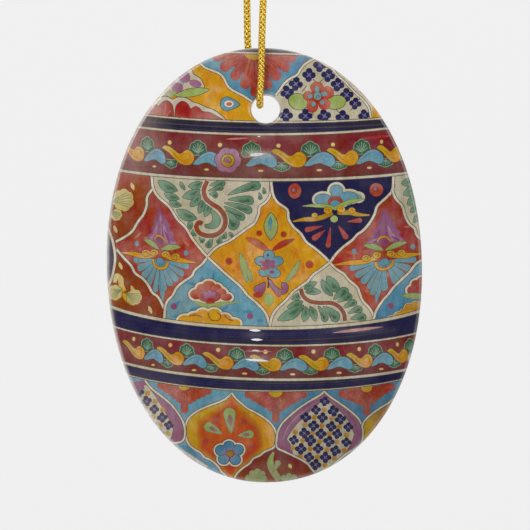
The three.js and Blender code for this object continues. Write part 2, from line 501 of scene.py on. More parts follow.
SKY_LEFT = [
    (-12.2, 36.2), (-11.2, 35.3), (-10.4, 34.6), (-9.2, 34.1), (-8.0, 33.6), (-7.2, 32.9), (-6.7, 31.9),
    (-6.2, 31.1), (-5.2, 30.4), (-4.0, 29.8), (-2.7, 29.0), (-1.6, 28.2),
]
SKY_RIGHT = [
    (9.4, 36.5), (8.4, 36.0), (7.1, 35.2), (6.3, 34.2), (5.7, 33.3), (4.4, 32.6), (3.4, 31.7), (2.7, 30.7),
    (2.0, 29.8),
]
RIM_RIGHT = [
    (8.9, 36.2), (10.4, 35.2), (11.9, 34.3), (12.8, 33.2), (14.1, 32.1), (15.1, 31.0), (16.2, 29.9),
    (17.4, 28.8), (18.3, 27.5), (18.7, 25.3),
]


def dots_flower(picture, x, z, size):
    """Four round navy dots in a cross, each with a lighter brush mark towards the middle."""
    tilt = random.uniform(-0.25, 0.25)
    for quarter in range(4):
        turn = tilt + quarter * math.pi / 2
        reach = size * random.uniform(0.56, 0.66)
        spot = (x + reach * math.cos(turn), z + reach * math.sin(turn))
        picture.add(oval(*spot, 0.52 * size, 0.5 * size, steps=14), "navy", "dusk", down(x, z, size))
    for quarter in range(4):
        turn = tilt + math.pi / 4 + quarter * math.pi / 2
        mark = [(x, z), (x + 0.5 * size * math.cos(turn), z + 0.5 * size * math.sin(turn))]
        picture.line(mark, 0.17 * size, "lilac", (1, 0.3))


def petal_fan(picture, x, z, tips, width, colours, disc):
    """Petals spread downwards from a half disc on a band's lower edge."""
    for k, (tip_x, tip_z) in enumerate(tips):
        outline = drop(x + 0.15 * (tip_x - x), z, tip_x, tip_z, width)
        picture.edged(outline, colours[k % len(colours)], "red", ((x, z), (tip_x, tip_z)), "red_deep", 0.06)
    for tip_x, tip_z in tips:
        lines = ((0.3, 0.8, "red_light", 0.2), (0.2, 0.7, "red_deep", 0.24))
        for start, stop, colour, line_width in lines:
            line = [(x + part * (tip_x - x), z + part * (tip_z - z)) for part in (start, stop)]
            picture.line(line, line_width, colour, (1, 0.2))
    picture.add(oval(x, z, disc, disc * 0.85), "yellow")


def neck_centre(picture):
    """The blue cell with its red petals, in the middle of the neck."""
    sky = np.concatenate([spline(SKY_LEFT, 4), [(0.3, 26)], spline(SKY_RIGHT, 4)[::-1], [(9, 38), (-12, 38)]])
    picture.add(sky, "sky", "sky_deep", ((-9, 35), (-2, 30)))
    picture.add([(-7.4, 37), (-5.6, 35.0), (-3.2, 33.4), (-1.5, 32.6), (0.2, 33.2), (2.2, 34.6), (3.8, 36.4),
                 (3.8, 37)], "red_deep")
    tips = [
        (-9.0, 36.4), (-7.6, 34.3), (-5.5, 32.5), (-3.5, 30.9), (-1.5, 29.5), (0.8, 30.8), (2.6, 32.5),
        (4.3, 34.3), (5.5, 36.2),
    ]
    petal_fan(picture, -1.9, 37.4, tips, 1.75, ("red_light", "red", "red_deep"), 1.7)


def neck_left(picture):
    """The orange cell, with an eye, a violet flower, a leaf and a red fan."""
    cell = np.concatenate([spline(SKY_LEFT, 4), [(-0.5, 24.5), (-25, 26), (-15, 37)]])
    picture.add(cell, "gold", "orange", ((-11.5, 34), (-6.4, 27)))
    halo = [
        (-13.2, 34.3), (-12.4, 33.4), (-11.3, 32.7), (-10.8, 31.9), (-10.6, 31.0), (-12.5, 30.4),
        (-20, 30.6), (-18, 34.5),
    ]
    picture.edged(spline(halo, 4, closed=True), "cream")
    picture.add(oval(-15.0, 31.9, 1.1, 0.8, 30), "turquoise", "haze", ((-14, 32), (-16, 32)))
    for x, z, rx, rz, turn in ((-14.0, 33.0, 1.0, 1.15, 40), (-12.1, 31.8, 1.15, 0.65, -18),
                               (-15.2, 31.0, 1.0, 0.95, 20), (-16.2, 31.9, 0.7, 0.45, 40)):
        picture.add(oval(x, z, rx, rz, turn), "purple", "violet", ((x + rx, z), (x - rx, z)))
    picture.leaf(-9.6, 30.75, -15.8, 29.7, 1.4, "green", "green")
    picture.leaf(-15.5, 30.2, -20.0, 29.3, 1.5, "pale_green", "haze", 0.0, "green")
    fan = [
        (-19.6, 28.6), (-18.2, 29.4), (-17.0, 29.5), (-16.1, 29.0), (-15.2, 29.35), (-14.0, 29.3),
        (-13.1, 28.9), (-12.5, 28.5), (-11.4, 28.2), (-10.2, 27.6), (-9.0, 27.2), (-7.9, 26.5),
        (-6.5, 25.2),
    ]
    picture.edged(np.concatenate([spline(fan, 3), [(-7, 24.5), (-24, 25)]]), "cream")
    group = [
        (-21.5, 25), (-20.9, 26.6), (-19.8, 27.7), (-19.0, 28.1), (-18.5, 27.8), (-17.9, 28.5),
        (-17.1, 28.8), (-16.4, 28.4), (-15.95, 27.4), (-15.9, 25),
    ]
    picture.edged(spline(group, 3), "pink", "red_deep", ((-20.5, 27), (-16.5, 27)), by=0.08)
    for x, z in ((-19.6, 27.2), (-18.4, 27.3), (-17.2, 28.1), (-16.4, 27.2)):
        picture.line([(-18.0 + 0.3 * (x + 18), 25.4), (x, z)], 0.3, "red_light", (0.4, 0.6))
    lobes = [
        (-7.0, 25.3), (-8.4, 26.1), (-9.5, 26.7), (-10.8, 26.9), (-11.4, 27.5), (-12.1, 27.8),
        (-12.9, 27.4), (-13.4, 28.2), (-14.3, 28.7), (-15.2, 28.2), (-15.6, 27.2), (-15.7, 25),
    ]
    picture.edged(spline(lobes, 3), "red", "red_deep", ((-9, 26), (-15, 28)), by=0.08)
    picture.line([(-13.4, 26.8), (-13.1, 27.7), (-14.0, 28.1), (-14.5, 27.6), (-14.2, 27.2)], 0.18,
                 "brick_deep")
    picture.edged(drop(-4.3, 28.1, -7.65, 28.3, 2.4), "sky", "sky_grey", ((-7.5, 28), (-4.5, 28)),
                  "green_deep")
    picture.edged(oval(-6.2, 28.25, 0.85, 0.6), "haze", edge="sky_deep", by=0.08)
    picture.add(oval(-6.15, 28.2, 0.5, 0.32), "red_light")


def neck_right(picture):
    """The cream cell, with a red flower, two leaves and a ring of dotted flowers."""
    picture.add([(6, 38), (30, 38), (30, 24), (0, 24), (0, 31)], "cream", "field", ((20, 30), (10, 28)))
    picture.add([(18.9, 28.2), (22, 28), (22, 25.2), (18.9, 25.2)], "gold", "orange", ((19, 28), (20.5, 26)))
    cell = np.concatenate([spline(SKY_RIGHT, 4), [(0, 24.8)], [(18.7, 25.2)], spline(RIM_RIGHT, 4)[::-1]])
    picture.add(cell, "field")
    flowers = [
        (9.7, 35.0), (7.8, 33.3), (11.2, 33.2), (5.5, 31.7), (4.0, 30.2), (12.8, 31.6), (14.4, 29.8),
        (15.9, 28.3), (3.8, 26.2), (7.2, 26.1), (10.5, 26.1), (13.7, 25.9), (17.5, 26.2),
    ]
    for x, z in flowers:
        size = 1.12 if abs(x - 9) < 6 else 0.98
        dots_flower(picture, x, z, size)
    for line in ([(9.7, 32.0), (10.4, 32.7)], [(8.5, 32.6), (9.1, 32.0)],
                 [(15.1, 27.1), (16.0, 28.2), (16.9, 29.5)],
                 [(12.4, 27.4), (13.2, 26.6)], [(8.2, 27.0), (8.6, 26.3)], [(6.6, 30.4), (7.4, 31.4)]):
        picture.line(line, 0.13, "ink")
    picture.edged(oval(5.9, 28.6, 1.7, 1.35, -20), "green", by=0.12)
    picture.edged(oval(12.5, 28.5, 1.75, 1.15, 12), "green", by=0.12)
    picture.add(oval(9.3, 29.4, 1.5, 1.3), "red")
    for x, z, rx, rz in ((9.2, 31.1, 1.1, 0.95), (11.0, 30.2, 1.15, 1.05), (10.5, 28.2, 1.0, 0.95),
                         (8.4, 27.8, 0.95, 1.05), (7.7, 29.6, 0.85, 0.8)):
        picture.edged(oval(x, z, rx, rz), "red_light", "red", down(x, z, rz), "red_deep", 0.08)
        ray = [(0.6 * x + 0.4 * 9.3, 0.6 * z + 0.4 * 29.4), (1.1 * x - 0.1 * 9.3, 1.1 * z - 0.1 * 29.4)]
        picture.line(ray, 0.12, "coral")
    for x, z, rx, rz in ((9.2, 30.8, 0.42, 0.5), (10.5, 30.0, 0.55, 0.4), (10.1, 28.5, 0.38, 0.4),
                         (8.6, 28.2, 0.38, 0.45), (8.0, 29.6, 0.4, 0.4), (9.3, 29.6, 0.65, 0.7)):
        picture.edged(oval(x, z, rx, rz), "turquoise", "sky_grey", down(x, z, rz), "ink", 0.05)
    picture.line([(9.0, 29.2), (9.4, 29.8), (9.6, 29.3)], 0.12, "ink")


def neck(picture):
    """Everything above the first navy band."""
    picture.add(band(Level(40, 0), NECK_TOP), "cream")
    neck_right(picture)
    neck_left(picture)
    neck_centre(picture)
    picture.border(SKY_LEFT, 0.36)
    picture.border(SKY_RIGHT, 0.36)
    picture.border(RIM_RIGHT, 0.3)
    picture.add(band(Level(41, 0), CAP_LINE), "navy")
    stripe(picture, CAP_LINE, 0.26)


# ---------------------------------------------------------------- the lattice of large cells

RED_LEFT_TOP = [
    (-19.7, 15.6), (-19.5, 13.6), (-18.6, 12.0), (-16.9, 10.5), (-16.2, 9.6), (-15.2, 8.0), (-13.8, 6.6),
    (-12.7, 4.8), (-11.4, 3.1), (-10.0, 1.5),
]
RED_LEFT_FAR = [
    (-19.6, 13.3), (-20.5, 12.0), (-20.6, 10.5), (-21.1, 9.0), (-22.2, 7.5), (-23.0, 6.1), (-24.2, 5.1),
    (-26.0, 4.1),
]
RED_LEFT_LOW = [
    (-25.9, 2.8), (-24.6, 1.3), (-23.3, -0.1), (-22.6, -1.4), (-21.2, -2.4), (-20.2, -3.7), (-19.6, -4.8),
    (-18.5, -5.7), (-17.4, -7.9),
]
RED_LEFT_FOOT = [
    (-10.0, 1.3), (-11.0, 0.1), (-12.2, -0.9), (-12.7, -1.9), (-14.2, -2.9), (-15.4, -4.0), (-16.0, -5.2),
    (-17.0, -6.3), (-17.4, -7.6), (-17.5, -9.6),
]
ORANGE_LEFT_TOP = [
    (1.2, 14.9), (1.1, 12.6), (0.4, 11.2), (-0.8, 10.2), (-1.0, 9.0), (-1.7, 7.4), (-3.1, 6.4), (-4.3, 5.5),
    (-6.2, 4.2), (-8.3, 3.2), (-9.9, 1.6),
]
ORANGE_RIGHT_TOP = [
    (1.2, 14.2), (1.5, 12.4), (2.3, 11.0), (4.0, 9.7), (4.2, 8.2), (5.0, 6.8), (6.4, 5.5), (7.3, 4.1),
    (8.9, 2.9), (10.4, 1.6), (11.5, 0.5),
]
ORANGE_LEFT_FOOT = [
    (-9.9, 1.4), (-8.5, 0.1), (-7.0, -1.3), (-5.7, -2.4), (-4.2, -3.7), (-3.0, -5.2), (-1.6, -6.4),
    (-0.3, -7.7), (0.5, -9.0), (0.9, -10.9),
]
ORANGE_RIGHT_FOOT = [
    (11.4, 0.4), (9.9, -0.7), (8.5, -1.7), (7.6, -2.8), (6.2, -3.8), (5.0, -4.7), (3.8, -6.1), (2.4, -7.4),
    (1.4, -8.8), (0.9, -10.9),
]
RED_RIGHT_TOP = [
    (22.6, 15.6), (22.4, 13.2), (21.5, 12.0), (19.8, 10.4), (19.3, 9.0), (18.5, 7.5), (17.3, 6.1),
    (16.3, 5.4), (15.4, 4.4), (13.8, 3.2), (12.5, 1.9), (11.5, 0.5),
]
RED_RIGHT_FAR = [
    (22.4, 13.1), (23.0, 11.6), (24.1, 10.4), (24.6, 8.7), (25.3, 7.3), (26.3, 6.4), (26.7, 5.2),
    (28.0, 4.2),
]
RED_RIGHT_LOW = [
    (11.5, 0.4), (12.6, -0.7), (13.9, -1.5), (14.8, -2.6), (16.2, -3.8), (16.7, -5.0), (17.2, -6.2),
    (18.3, -7.4), (19.0, -8.6), (19.2, -10.0),
]
RED_RIGHT_FOOT = [
    (19.2, -9.2), (19.6, -7.9), (20.7, -6.2), (21.6, -5.2), (22.6, -3.9), (23.9, -2.6), (25.4, -1.2),
    (26.6, 0.3), (28.2, 1.2),
]
NAVY_SLIVER = [(-27.4, 6.6), (-26.6, 4.4), (-26.15, 2.0), (-26.2, 0.2), (-26.7, -2.2), (-27.6, -4.2)]
PATCH_TRIES = 400


def joined(*lines):
    """Border lines end to end, as one closed outline. A line followed by 'back' runs the other way."""
    outline = []
    for line in lines:
        if isinstance(line, str):
            outline[-1] = outline[-1][::-1]
        else:
            outline.append(spline(line, 4) if len(line) > 2 else np.array(line, float))
    return np.concatenate(outline)


def leaves(picture, places, dark_inside=False):
    """Many leaves, each from its pointed foot to its round end, with a dark wash at one of the two."""
    for x0, z0, x1, z1, width in places:
        foot, end = np.array([x0, z0]), np.array([x1, z1])
        dark, light = (foot, end) if dark_inside else (end, foot)
        bend = 0.14 * width
        shape = leaf if dark_inside else drop
        picture.edged(shape(x0, z0, x1, z1, 1.08 * width, bend), "sage_mid", "sage", (dark, light), by=0.09)
        inner = (*(foot + 0.12 * (end - foot)), *(foot + 0.88 * (end - foot)))
        picture.add(shape(*inner, 0.6 * width, bend), "sage_low", "sage", (dark, light))
        spot = dark + 0.24 * (light - dark)
        reach = dark + 0.62 * (light - dark)
        picture.add(leaf(*(spot + 0.05), *reach, 0.36 * width, bend), "sage_deep", "sage_mid", (spot, reach))
        if not dark_inside:
            picture.add(oval(*spot, 0.22 * width, 0.2 * width, steps=10), "sage_deep")


def cream_cell_left(picture):
    """Sage leaves and a brick-red scrolled stem on cream."""
    cell = joined([(-19.7, 16.5), (1.2, 15.5)], ORANGE_LEFT_TOP, RED_LEFT_TOP, "back")
    picture.add(cell, "cream", "field", ((0, 13), (-12, 12)))
    stem = [
        (-10.0, 14.7), (-10.6, 13.2), (-10.3, 11.8), (-9.3, 10.8), (-8.0, 10.0), (-7.1, 8.9), (-6.8, 7.6),
        (-7.3, 6.2), (-8.6, 5.3), (-10.3, 5.2), (-11.5, 5.8), (-11.9, 6.8), (-11.4, 7.5), (-10.9, 7.2),
    ]
    leaves(picture, [
        (-15.2, 13.0, -18.6, 14.8, 1.6), (-13.9, 13.2, -14.7, 14.6, 0.6), (-10.7, 14.4, -13.3, 13.8, 1.25),
        (-14.9, 11.6, -17.5, 12.6, 1.15), (-11.2, 13.2, -14.3, 11.9, 1.45), (-14.5, 10.4, -16.6, 11.2, 0.95),
        (-11.2, 12.4, -13.0, 10.3, 1.3), (-11.8, 8.1, -15.4, 9.7, 1.6), (-10.7, 11.4, -11.5, 9.1, 1.1),
        (-9.7, 11.0, -10.4, 8.5, 1.15), (-12.9, 6.3, -12.9, 7.8, 0.8), (-12.0, 5.1, -12.5, 6.2, 0.65),
    ], True)
    leaves(picture, [
        (-11.4, 4.9, -10.7, 4.0, 0.75), (-9.2, 5.0, -10.0, 3.1, 0.95), (-9.6, 13.9, -6.9, 14.4, 1.0),
        (-9.8, 13.0, -7.2, 13.6, 0.8), (-9.6, 12.5, -8.2, 12.1, 0.95), (-6.4, 12.3, -0.7, 14.1, 1.45),
        (-6.3, 11.5, -1.9, 11.2, 1.4), (-7.0, 10.9, -2.2, 9.4, 1.25), (-7.1, 10.3, -3.5, 8.1, 1.1),
        (-6.9, 9.6, -5.0, 6.3, 1.9), (-6.9, 5.9, -7.1, 4.6, 0.75), (-6.2, 5.7, -5.6, 5.0, 0.6),
        (-7.6, 5.1, -8.1, 3.8, 0.8), (-0.9, 12.7, -0.7, 11.5, 0.6), (-0.2, 13.6, 0.0, 12.5, 0.55),
    ])
    picture.line(stem, 1.15, "cream")
    picture.edged(stroke(stem, 0.72, (0.9, 1.1)), "stem", "brick", ((-7, 8), (-11, 13)), by=0.05)
    curl = [(-9.3, 9.7), (-8.6, 8.6), (-8.4, 7.6), (-9.2, 6.9), (-10.4, 6.9)]
    picture.edged(stroke(curl, 1.3, (0.2, 0.3)), "sage", "moss", ((-8.6, 8), (-10, 6.6)), by=0.09)


def cream_cell_right(picture):
    """The same leaves and stem in the cell below and to the right."""
    foot = [(19.2, -10.8), (0.9, -11.5)]
    picture.add(joined(ORANGE_RIGHT_FOOT, [foot[1], foot[0]], RED_RIGHT_LOW, "back"), "cream", "field",
                ((8, -2), (12, -8)))
    leaves(picture, [
        (13.2, -4.7, 11.0, -1.9, 1.8), (11.9, -5.4, 10.0, -2.5, 1.2), (6.9, -4.2, 9.2, -3.0, 0.95),
        (7.2, -4.7, 9.9, -4.7, 1.05), (6.5, -5.0, 4.8, -5.9, 0.95), (6.7, -6.3, 4.0, -7.4, 1.25),
        (6.9, -7.0, 2.3, -9.6, 1.7), (7.2, -7.2, 6.9, -9.9, 1.25), (8.0, -7.2, 8.9, -9.8, 1.15),
    ], True)
    leaves(picture, [
        (12.1, -6.0, 14.6, -4.2, 1.3), (12.8, -6.5, 15.3, -5.3, 1.2), (13.8, -7.5, 16.1, -6.4, 1.1),
        (14.7, -8.4, 17.1, -7.6, 1.1), (15.1, -9.4, 17.8, -9.1, 1.3), (9.4, -7.1, 10.8, -9.8, 1.1),
        (10.3, -7.2, 12.9, -9.7, 1.6),
    ])
    stem = [
        (6.4, -4.2), (6.8, -5.4), (8.0, -6.3), (9.8, -6.6), (11.6, -6.6), (13.0, -7.2), (13.9, -8.4),
        (14.1, -9.7),
    ]
    picture.line(stem, 1.05, "cream")
    picture.edged(stroke(stem, 0.56), "stem", by=0.07)


def cream_cell_far(picture):
    """The edge of a third such cell, at the far right."""
    picture.add(joined([(22.7, 16.5), (30, 17), (30, 4)], RED_RIGHT_FAR, "back"), "field")
    leaves(picture, [
        (26.2, 15.0, 24.0, 14.3, 1.3), (26.8, 14.0, 24.3, 12.3, 1.45), (26.8, 12.4, 25.0, 10.6, 1.3),
        (26.8, 10.6, 25.6, 9.3, 0.95), (27.0, 9.2, 26.2, 7.5, 0.85),
    ], True)


def brick_cells(picture):
    """Brick red at the far left, with pale shells."""
    picture.add([(-30, 17.5), (-19.6, 17), (-17.3, -8), (-17.4, -11), (-30, -8)], "brick", "brick_deep",
                ((-24, 14), (-22, 4)))
    scroll_end = [(-26.2, -3.0), (-25.9, -1.9), (-25.2, -2.3), (-25.0, -3.6), (-24.5, -4.6)]
    picture.edged(stroke(scroll_end, 0.95, (0.7, 0.8)), "shell", "gold", ((-25, -2), (-24.5, -5)),
                  "brick_deep", 0.08)
    picture.edged(leaf(-24.9, -4.7, -23.3, -7.0, 0.9), "gold", edge="brick_deep", by=0.08)
    for x, z, foot_x, foot_z, size in ((-24.7, 11.4, -27.0, 11.2, 2.0), (-25.9, 8.8, -27.2, 9.6, 1.05),
                                       (-26.2, -4.8, -25.0, -4.3, 1.4), (-22.8, -5.6, -24.4, -4.8, 1.45)):
        away = math.degrees(math.atan2(z - foot_z, x - foot_x))
        picture.edged(blossom(x, z, 0.95 * size, size, 7, 0.12, away), "shell", "shell_low",
                      ((x - size, z + size), (x + 1.5 * size, z - 1.5 * size)), "brick_deep", 0.08)
        for turn in range(-60, 61, 24):
            way = math.radians(away + turn)
            ray = [(foot_x, foot_z), (x + 0.7 * size * math.cos(way), z + 0.7 * size * math.sin(way))]
            picture.line(ray, 0.1, "moss", (0.3, 1))
    for x, z in ((-23.1, 13.8), (-20.0, -7.8), (-23.1, -4.2), (-26.1, 6.3), (-25.2, -0.1)):
        picture.add(leaf(x - 0.25, z + 0.7, x + 0.3, z - 0.7, 0.6), "shell")
    picture.add(joined(NAVY_SLIVER, [(-31, -4.2), (-31, 6.6)]), "navy")


def yellow_wing(picture, points, width, bulges):
    """A long curling wing, thick at its root."""
    picture.edged(stroke(points, width, (0.2, 1.0)), "gold", "ochre", (points[0], points[-1]), by=0.1)
    for x, z, r in bulges:
        picture.edged(oval(x, z, r, 0.8 * r), "gold", "orange", down(x, z, r), "ink", 0.07)
        curl = [(x - 0.5 * r, z), (x, z + 0.35 * r), (x + 0.45 * r, z), (x + 0.1 * r, z - 0.3 * r)]
        picture.line(curl, 0.1, "stem")


def palmette(picture, x, z, sl, sr, slope, tip):
    """A red cell's motif: a blue fan, yellow wings, a violet cone and a small flower. sl and sr are how
    wide its left and right halves are drawn, and tip is how far to the side its longest petal ends."""
    def here(points):
        p = np.asarray(points, float)
        scale = np.where(p[:, :1] < 0, sl, sr)
        return set_at(np.hstack([p[:, :1] * scale, p[:, 1:]]), x, z, 1, 1, slope)

    cone = [
        (0.0, 9.6), (-0.6, 8.6), (-0.5, 7.9), (-1.2, 7.2), (-1.1, 6.4), (-1.9, 5.9), (-1.9, 5.0),
        (-2.9, 4.3), (-3.1, 3.4), (-2.0, 3.3), (2.8, 3.4), (3.7, 3.4), (2.6, 4.6), (2.7, 5.3), (1.9, 5.9),
        (1.9, 6.9), (1.1, 7.3), (1.0, 8.1), (0.4, 8.6),
    ]
    picture.add(here(cone), "plum", "purple", (here([(0, 9)])[0], here([(0, 3.6)])[0]))
    for k in random.sample(range(-8, 9), 17):
        top = 8.9 - 0.58 * abs(k) + random.uniform(-0.7, 0.4)
        line = stroke([(0.16 * k, top), (0.38 * k, 3.7)], random.uniform(0.3, 0.55), (0.1, 1))
        picture.add(here(line), random.choice(("purple", "violet", "plum", "purple")))
    petals = [
        (-6.1, -0.3, 1.15), (-5.1, -1.8, 1.25), (-4.0, -3.1, 1.3), (-2.7, -4.3, 1.3), (tip, -7.0, 1.25),
        (-1.4 + 0.5 * tip, -5.4, 1.2), (0.6 + 0.4 * tip, -4.9, 1.25), (2.2, -3.9, 1.3), (3.4, -2.9, 1.3),
        (4.6, -1.6, 1.2), (5.6, 0.0, 1.15),
    ]
    for k, (px, pz, width) in enumerate(petals):
        colour = "sky_grey" if k % 2 else "sky"
        ends = (here([(0, 0)])[0], here([(px, pz)])[0])
        shape = leaf if pz < -6 else drop
        picture.edged(here(shape(0.1 * px, 0.3, px, pz, width)), colour, "sky_grey", ends, "ink", 0.055)
    for side, end in ((-1, (-3.7, 3.5)), (1, (4.0, 3.2))):
        picture.edged(here(leaf(*end, 0.1 * side, 2.2, 0.95, -0.2 * side)), "green", "pale_green",
                      (here([end])[0], here([(0, 2.3)])[0]), "ink", 0.06)
    picture.edged(here(oval(0, 3.7, 0.9, 0.7)), "magenta", by=0.05, edge="purple")
    picture.edged(here(stroke([(-1.3, 3.8), (-0.7, 4.5), (0.3, 4.5), (1.2, 3.6)], 0.36, (0.4, 0.6))), "gold",
                  by=0.06)
    wing_left = [(-8.8, 0.6), (-6.5, 0.7), (-4.3, 0.6), (-2.6, 0.8), (-1.0, 1.3)]
    wing_right = [(6.9, 0.9), (4.8, 0.9), (3.2, 0.9), (2.0, 1.1), (0.9, 1.3)]
    for points, bulges in ((wing_left, [(-1.3, 1.5), (-3.2, 1.2)]), (wing_right, [(1.1, 1.5), (3.0, 1.4)])):
        picture.edged(here(stroke(points, 0.85, (0.2, 1.2))), "orange", "gold",
                      (here(points)[0], here(points)[-1]), by=0.08)
        picture.cluster([(*here([bulge])[0], 0.72, 0.55) for bulge in bulges], "yellow", "orange", by=0.08)
        for bulge in bulges:
            curl = np.array([(-0.45, 0.0), (0.0, 0.25), (0.35, 0.0), (0.1, -0.25)]) + here([bulge])[0]
            picture.line(curl, 0.1, "ink")
    picture.edged(here(stroke([(-1.6, 0.3), (-1.1, -0.8), (0.0, -1.1), (1.1, -0.7), (1.6, 0.3)], 0.46)),
                  "gold", by=0.08)
    picture.edged(here(oval(0, 0.15, 0.75, 0.6)), "sky", by=0.06)
    for px, pz in ((-5.3, 2.6), (5.0, 2.3)):
        picture.edged(here(oval(px, pz, 0.36, 0.44)), "sky_grey", edge="lilac", by=0.08)


def patches(picture, outline, colour, count, size):
    """Loose brush patches of a second colour inside a cell."""
    low, high = outline.min(axis=0), outline.max(axis=0)
    centre = (low + high) / 2
    tries = 0
    while count and tries < PATCH_TRIES:
        tries += 1
        spot = np.array([random.uniform(low[0], high[0]), random.uniform(low[1], high[1])])
        way = random.uniform(0, math.pi)
        reach = size * random.uniform(0.7, 1.6)
        half = reach / 2 * np.array([math.cos(way), math.sin(way)])
        ends = np.array([spot - 1.3 * half, spot + 1.3 * half])
        if inside(ends, outline).all() and np.linalg.norm(spot - centre) > size:
            picture.add(leaf(*(spot - half), *(spot + half), reach * random.uniform(0.18, 0.4)), colour)
            count -= 1


def red_cells(picture):
    """The two red diamonds, each with a palmette."""
    left = joined(RED_LEFT_TOP, RED_LEFT_FOOT, RED_LEFT_LOW, "back", RED_LEFT_FAR, "back")
    right = joined(RED_RIGHT_TOP, "back", RED_RIGHT_FAR, [(28, 1.2)], RED_RIGHT_FOOT, "back",
                   RED_RIGHT_LOW, "back")
    for outline, ends, motif in ((left, ((-13, 1), (-17, 9)), (-18.3, 0.55, 0.76, 0.92, -0.16, 0.6)),
                                 (right, ((15, 2), (23, 9)), (21.0, 0.4, 1.0, 1.0, 0.11, -1.5))):
        picture.add(outline, "red", "red_deep", ends)
        patches(picture, outline, "red_light", 14, 1.6)
        patches(picture, outline, "red_deep", 10, 1.6)
        palmette(picture, *motif)


def orange_cell(picture):
    """The large orange diamond in the middle, with its blue flower."""
    cell = joined(ORANGE_LEFT_TOP, "back", ORANGE_RIGHT_TOP, ORANGE_RIGHT_FOOT, ORANGE_LEFT_FOOT, "back")
    picture.add(cell, "orange_deep", "orange", ((-9, 2), (8, 1)))
    patches(picture, cell, "amber", 16, 1.8)
    patches(picture, cell, "orange_pale", 12, 1.6)
    picture.leaf(1.15, 9.2, 1.15, 4.4, 2.35, "green", "pale_green", 0.0, "ink", 0.12)
    picture.add(leaf(1.1, 8.6, 0.95, 5.8, 0.8), "sky_deep", "sage", ((1, 8), (1, 6)))
    for x, z, r in ((-0.9, 5.6, 0.42), (3.4, 5.4, 0.45), (-6.2, 0.7, 0.52), (7.9, 0.15, 0.58)):
        picture.edged(oval(x, z, r, r), "red_deep", edge="rust", by=0.14)
    picture.leaf(0.9, 2.3, -3.2, 4.8, 1.15, "red", "red_light", -0.25, "rust")
    picture.leaf(1.3, 2.5, 5.3, 4.6, 0.95, "red", "red_deep", 0.2, "rust")
    picture.edged(stroke([(0.6, -2.0), (0.75, -3.0), (0.65, -4.0)], 0.3), "ink", by=0.02)
    petals = [
        (0.8, 1.75, 0.95, 0.85), (-0.7, 0.75, 0.95, 0.75), (2.35, 0.75, 0.95, 0.75),
        (-0.05, -1.25, 0.9, 0.7), (1.75, -1.4, 1.05, 0.8),
    ]
    picture.cluster([*petals, (0.8, 0.1, 1.5, 1.3)], "sky", "sky_grey", by=0.11)
    picture.add(oval(0.8, 0.1, 1.5, 1.2), "sky_grey")
    picture.add(blossom(0.8, 0.15, 1.3, 0.95, 5, 0.3), "magenta", "purple", ((0, 0.4), (1.6, 0)))
    picture.add(oval(-0.4, 0.6, 0.5, 0.25), "red")
    picture.add(oval(-0.1, -0.6, 0.5, 0.35), "red")
    picture.add(oval(1.3, -1.2, 0.45, 0.3), "magenta")
    picture.add(oval(0.6, 1.75, 0.2, 0.22), "ink")
    picture.leaf(-4.3, 2.2, -3.0, -3.1, 1.15, "green", "pale_green", 0.15, "moss")
    picture.leaf(-2.9, -0.6, -2.2, -3.0, 0.7, "green", "pale_green", 0.0, "moss")
    picture.leaf(6.3, 0.9, 3.5, -3.2, 0.85, "green", "pale_green", 0.2, "moss")
    picture.edged(drop(0.1, -3.0, -1.6, -4.6, 1.7, 0.3), "violet", "magenta", ((-1.9, -3.6), (-0.6, -5.2)))
    picture.add(oval(-1.1, -5.2, 0.9, 0.5), "coral")
    curl = [(0.9, -2.6), (1.5, -3.7), (2.5, -4.6), (3.5, -4.5), (3.7, -3.6), (3.0, -3.5)]
    picture.edged(stroke(curl, 0.85, (0.4, 0.9)), "violet", "purple", ((1, -3), (3.6, -4.4)))
    picture.add(drop(1.6, -4.8, 2.9, -5.4, 0.9), "red")
    picture.edged(oval(0.75, -6.0, 0.85, 1.1), "green", by=0.08, edge="ochre")


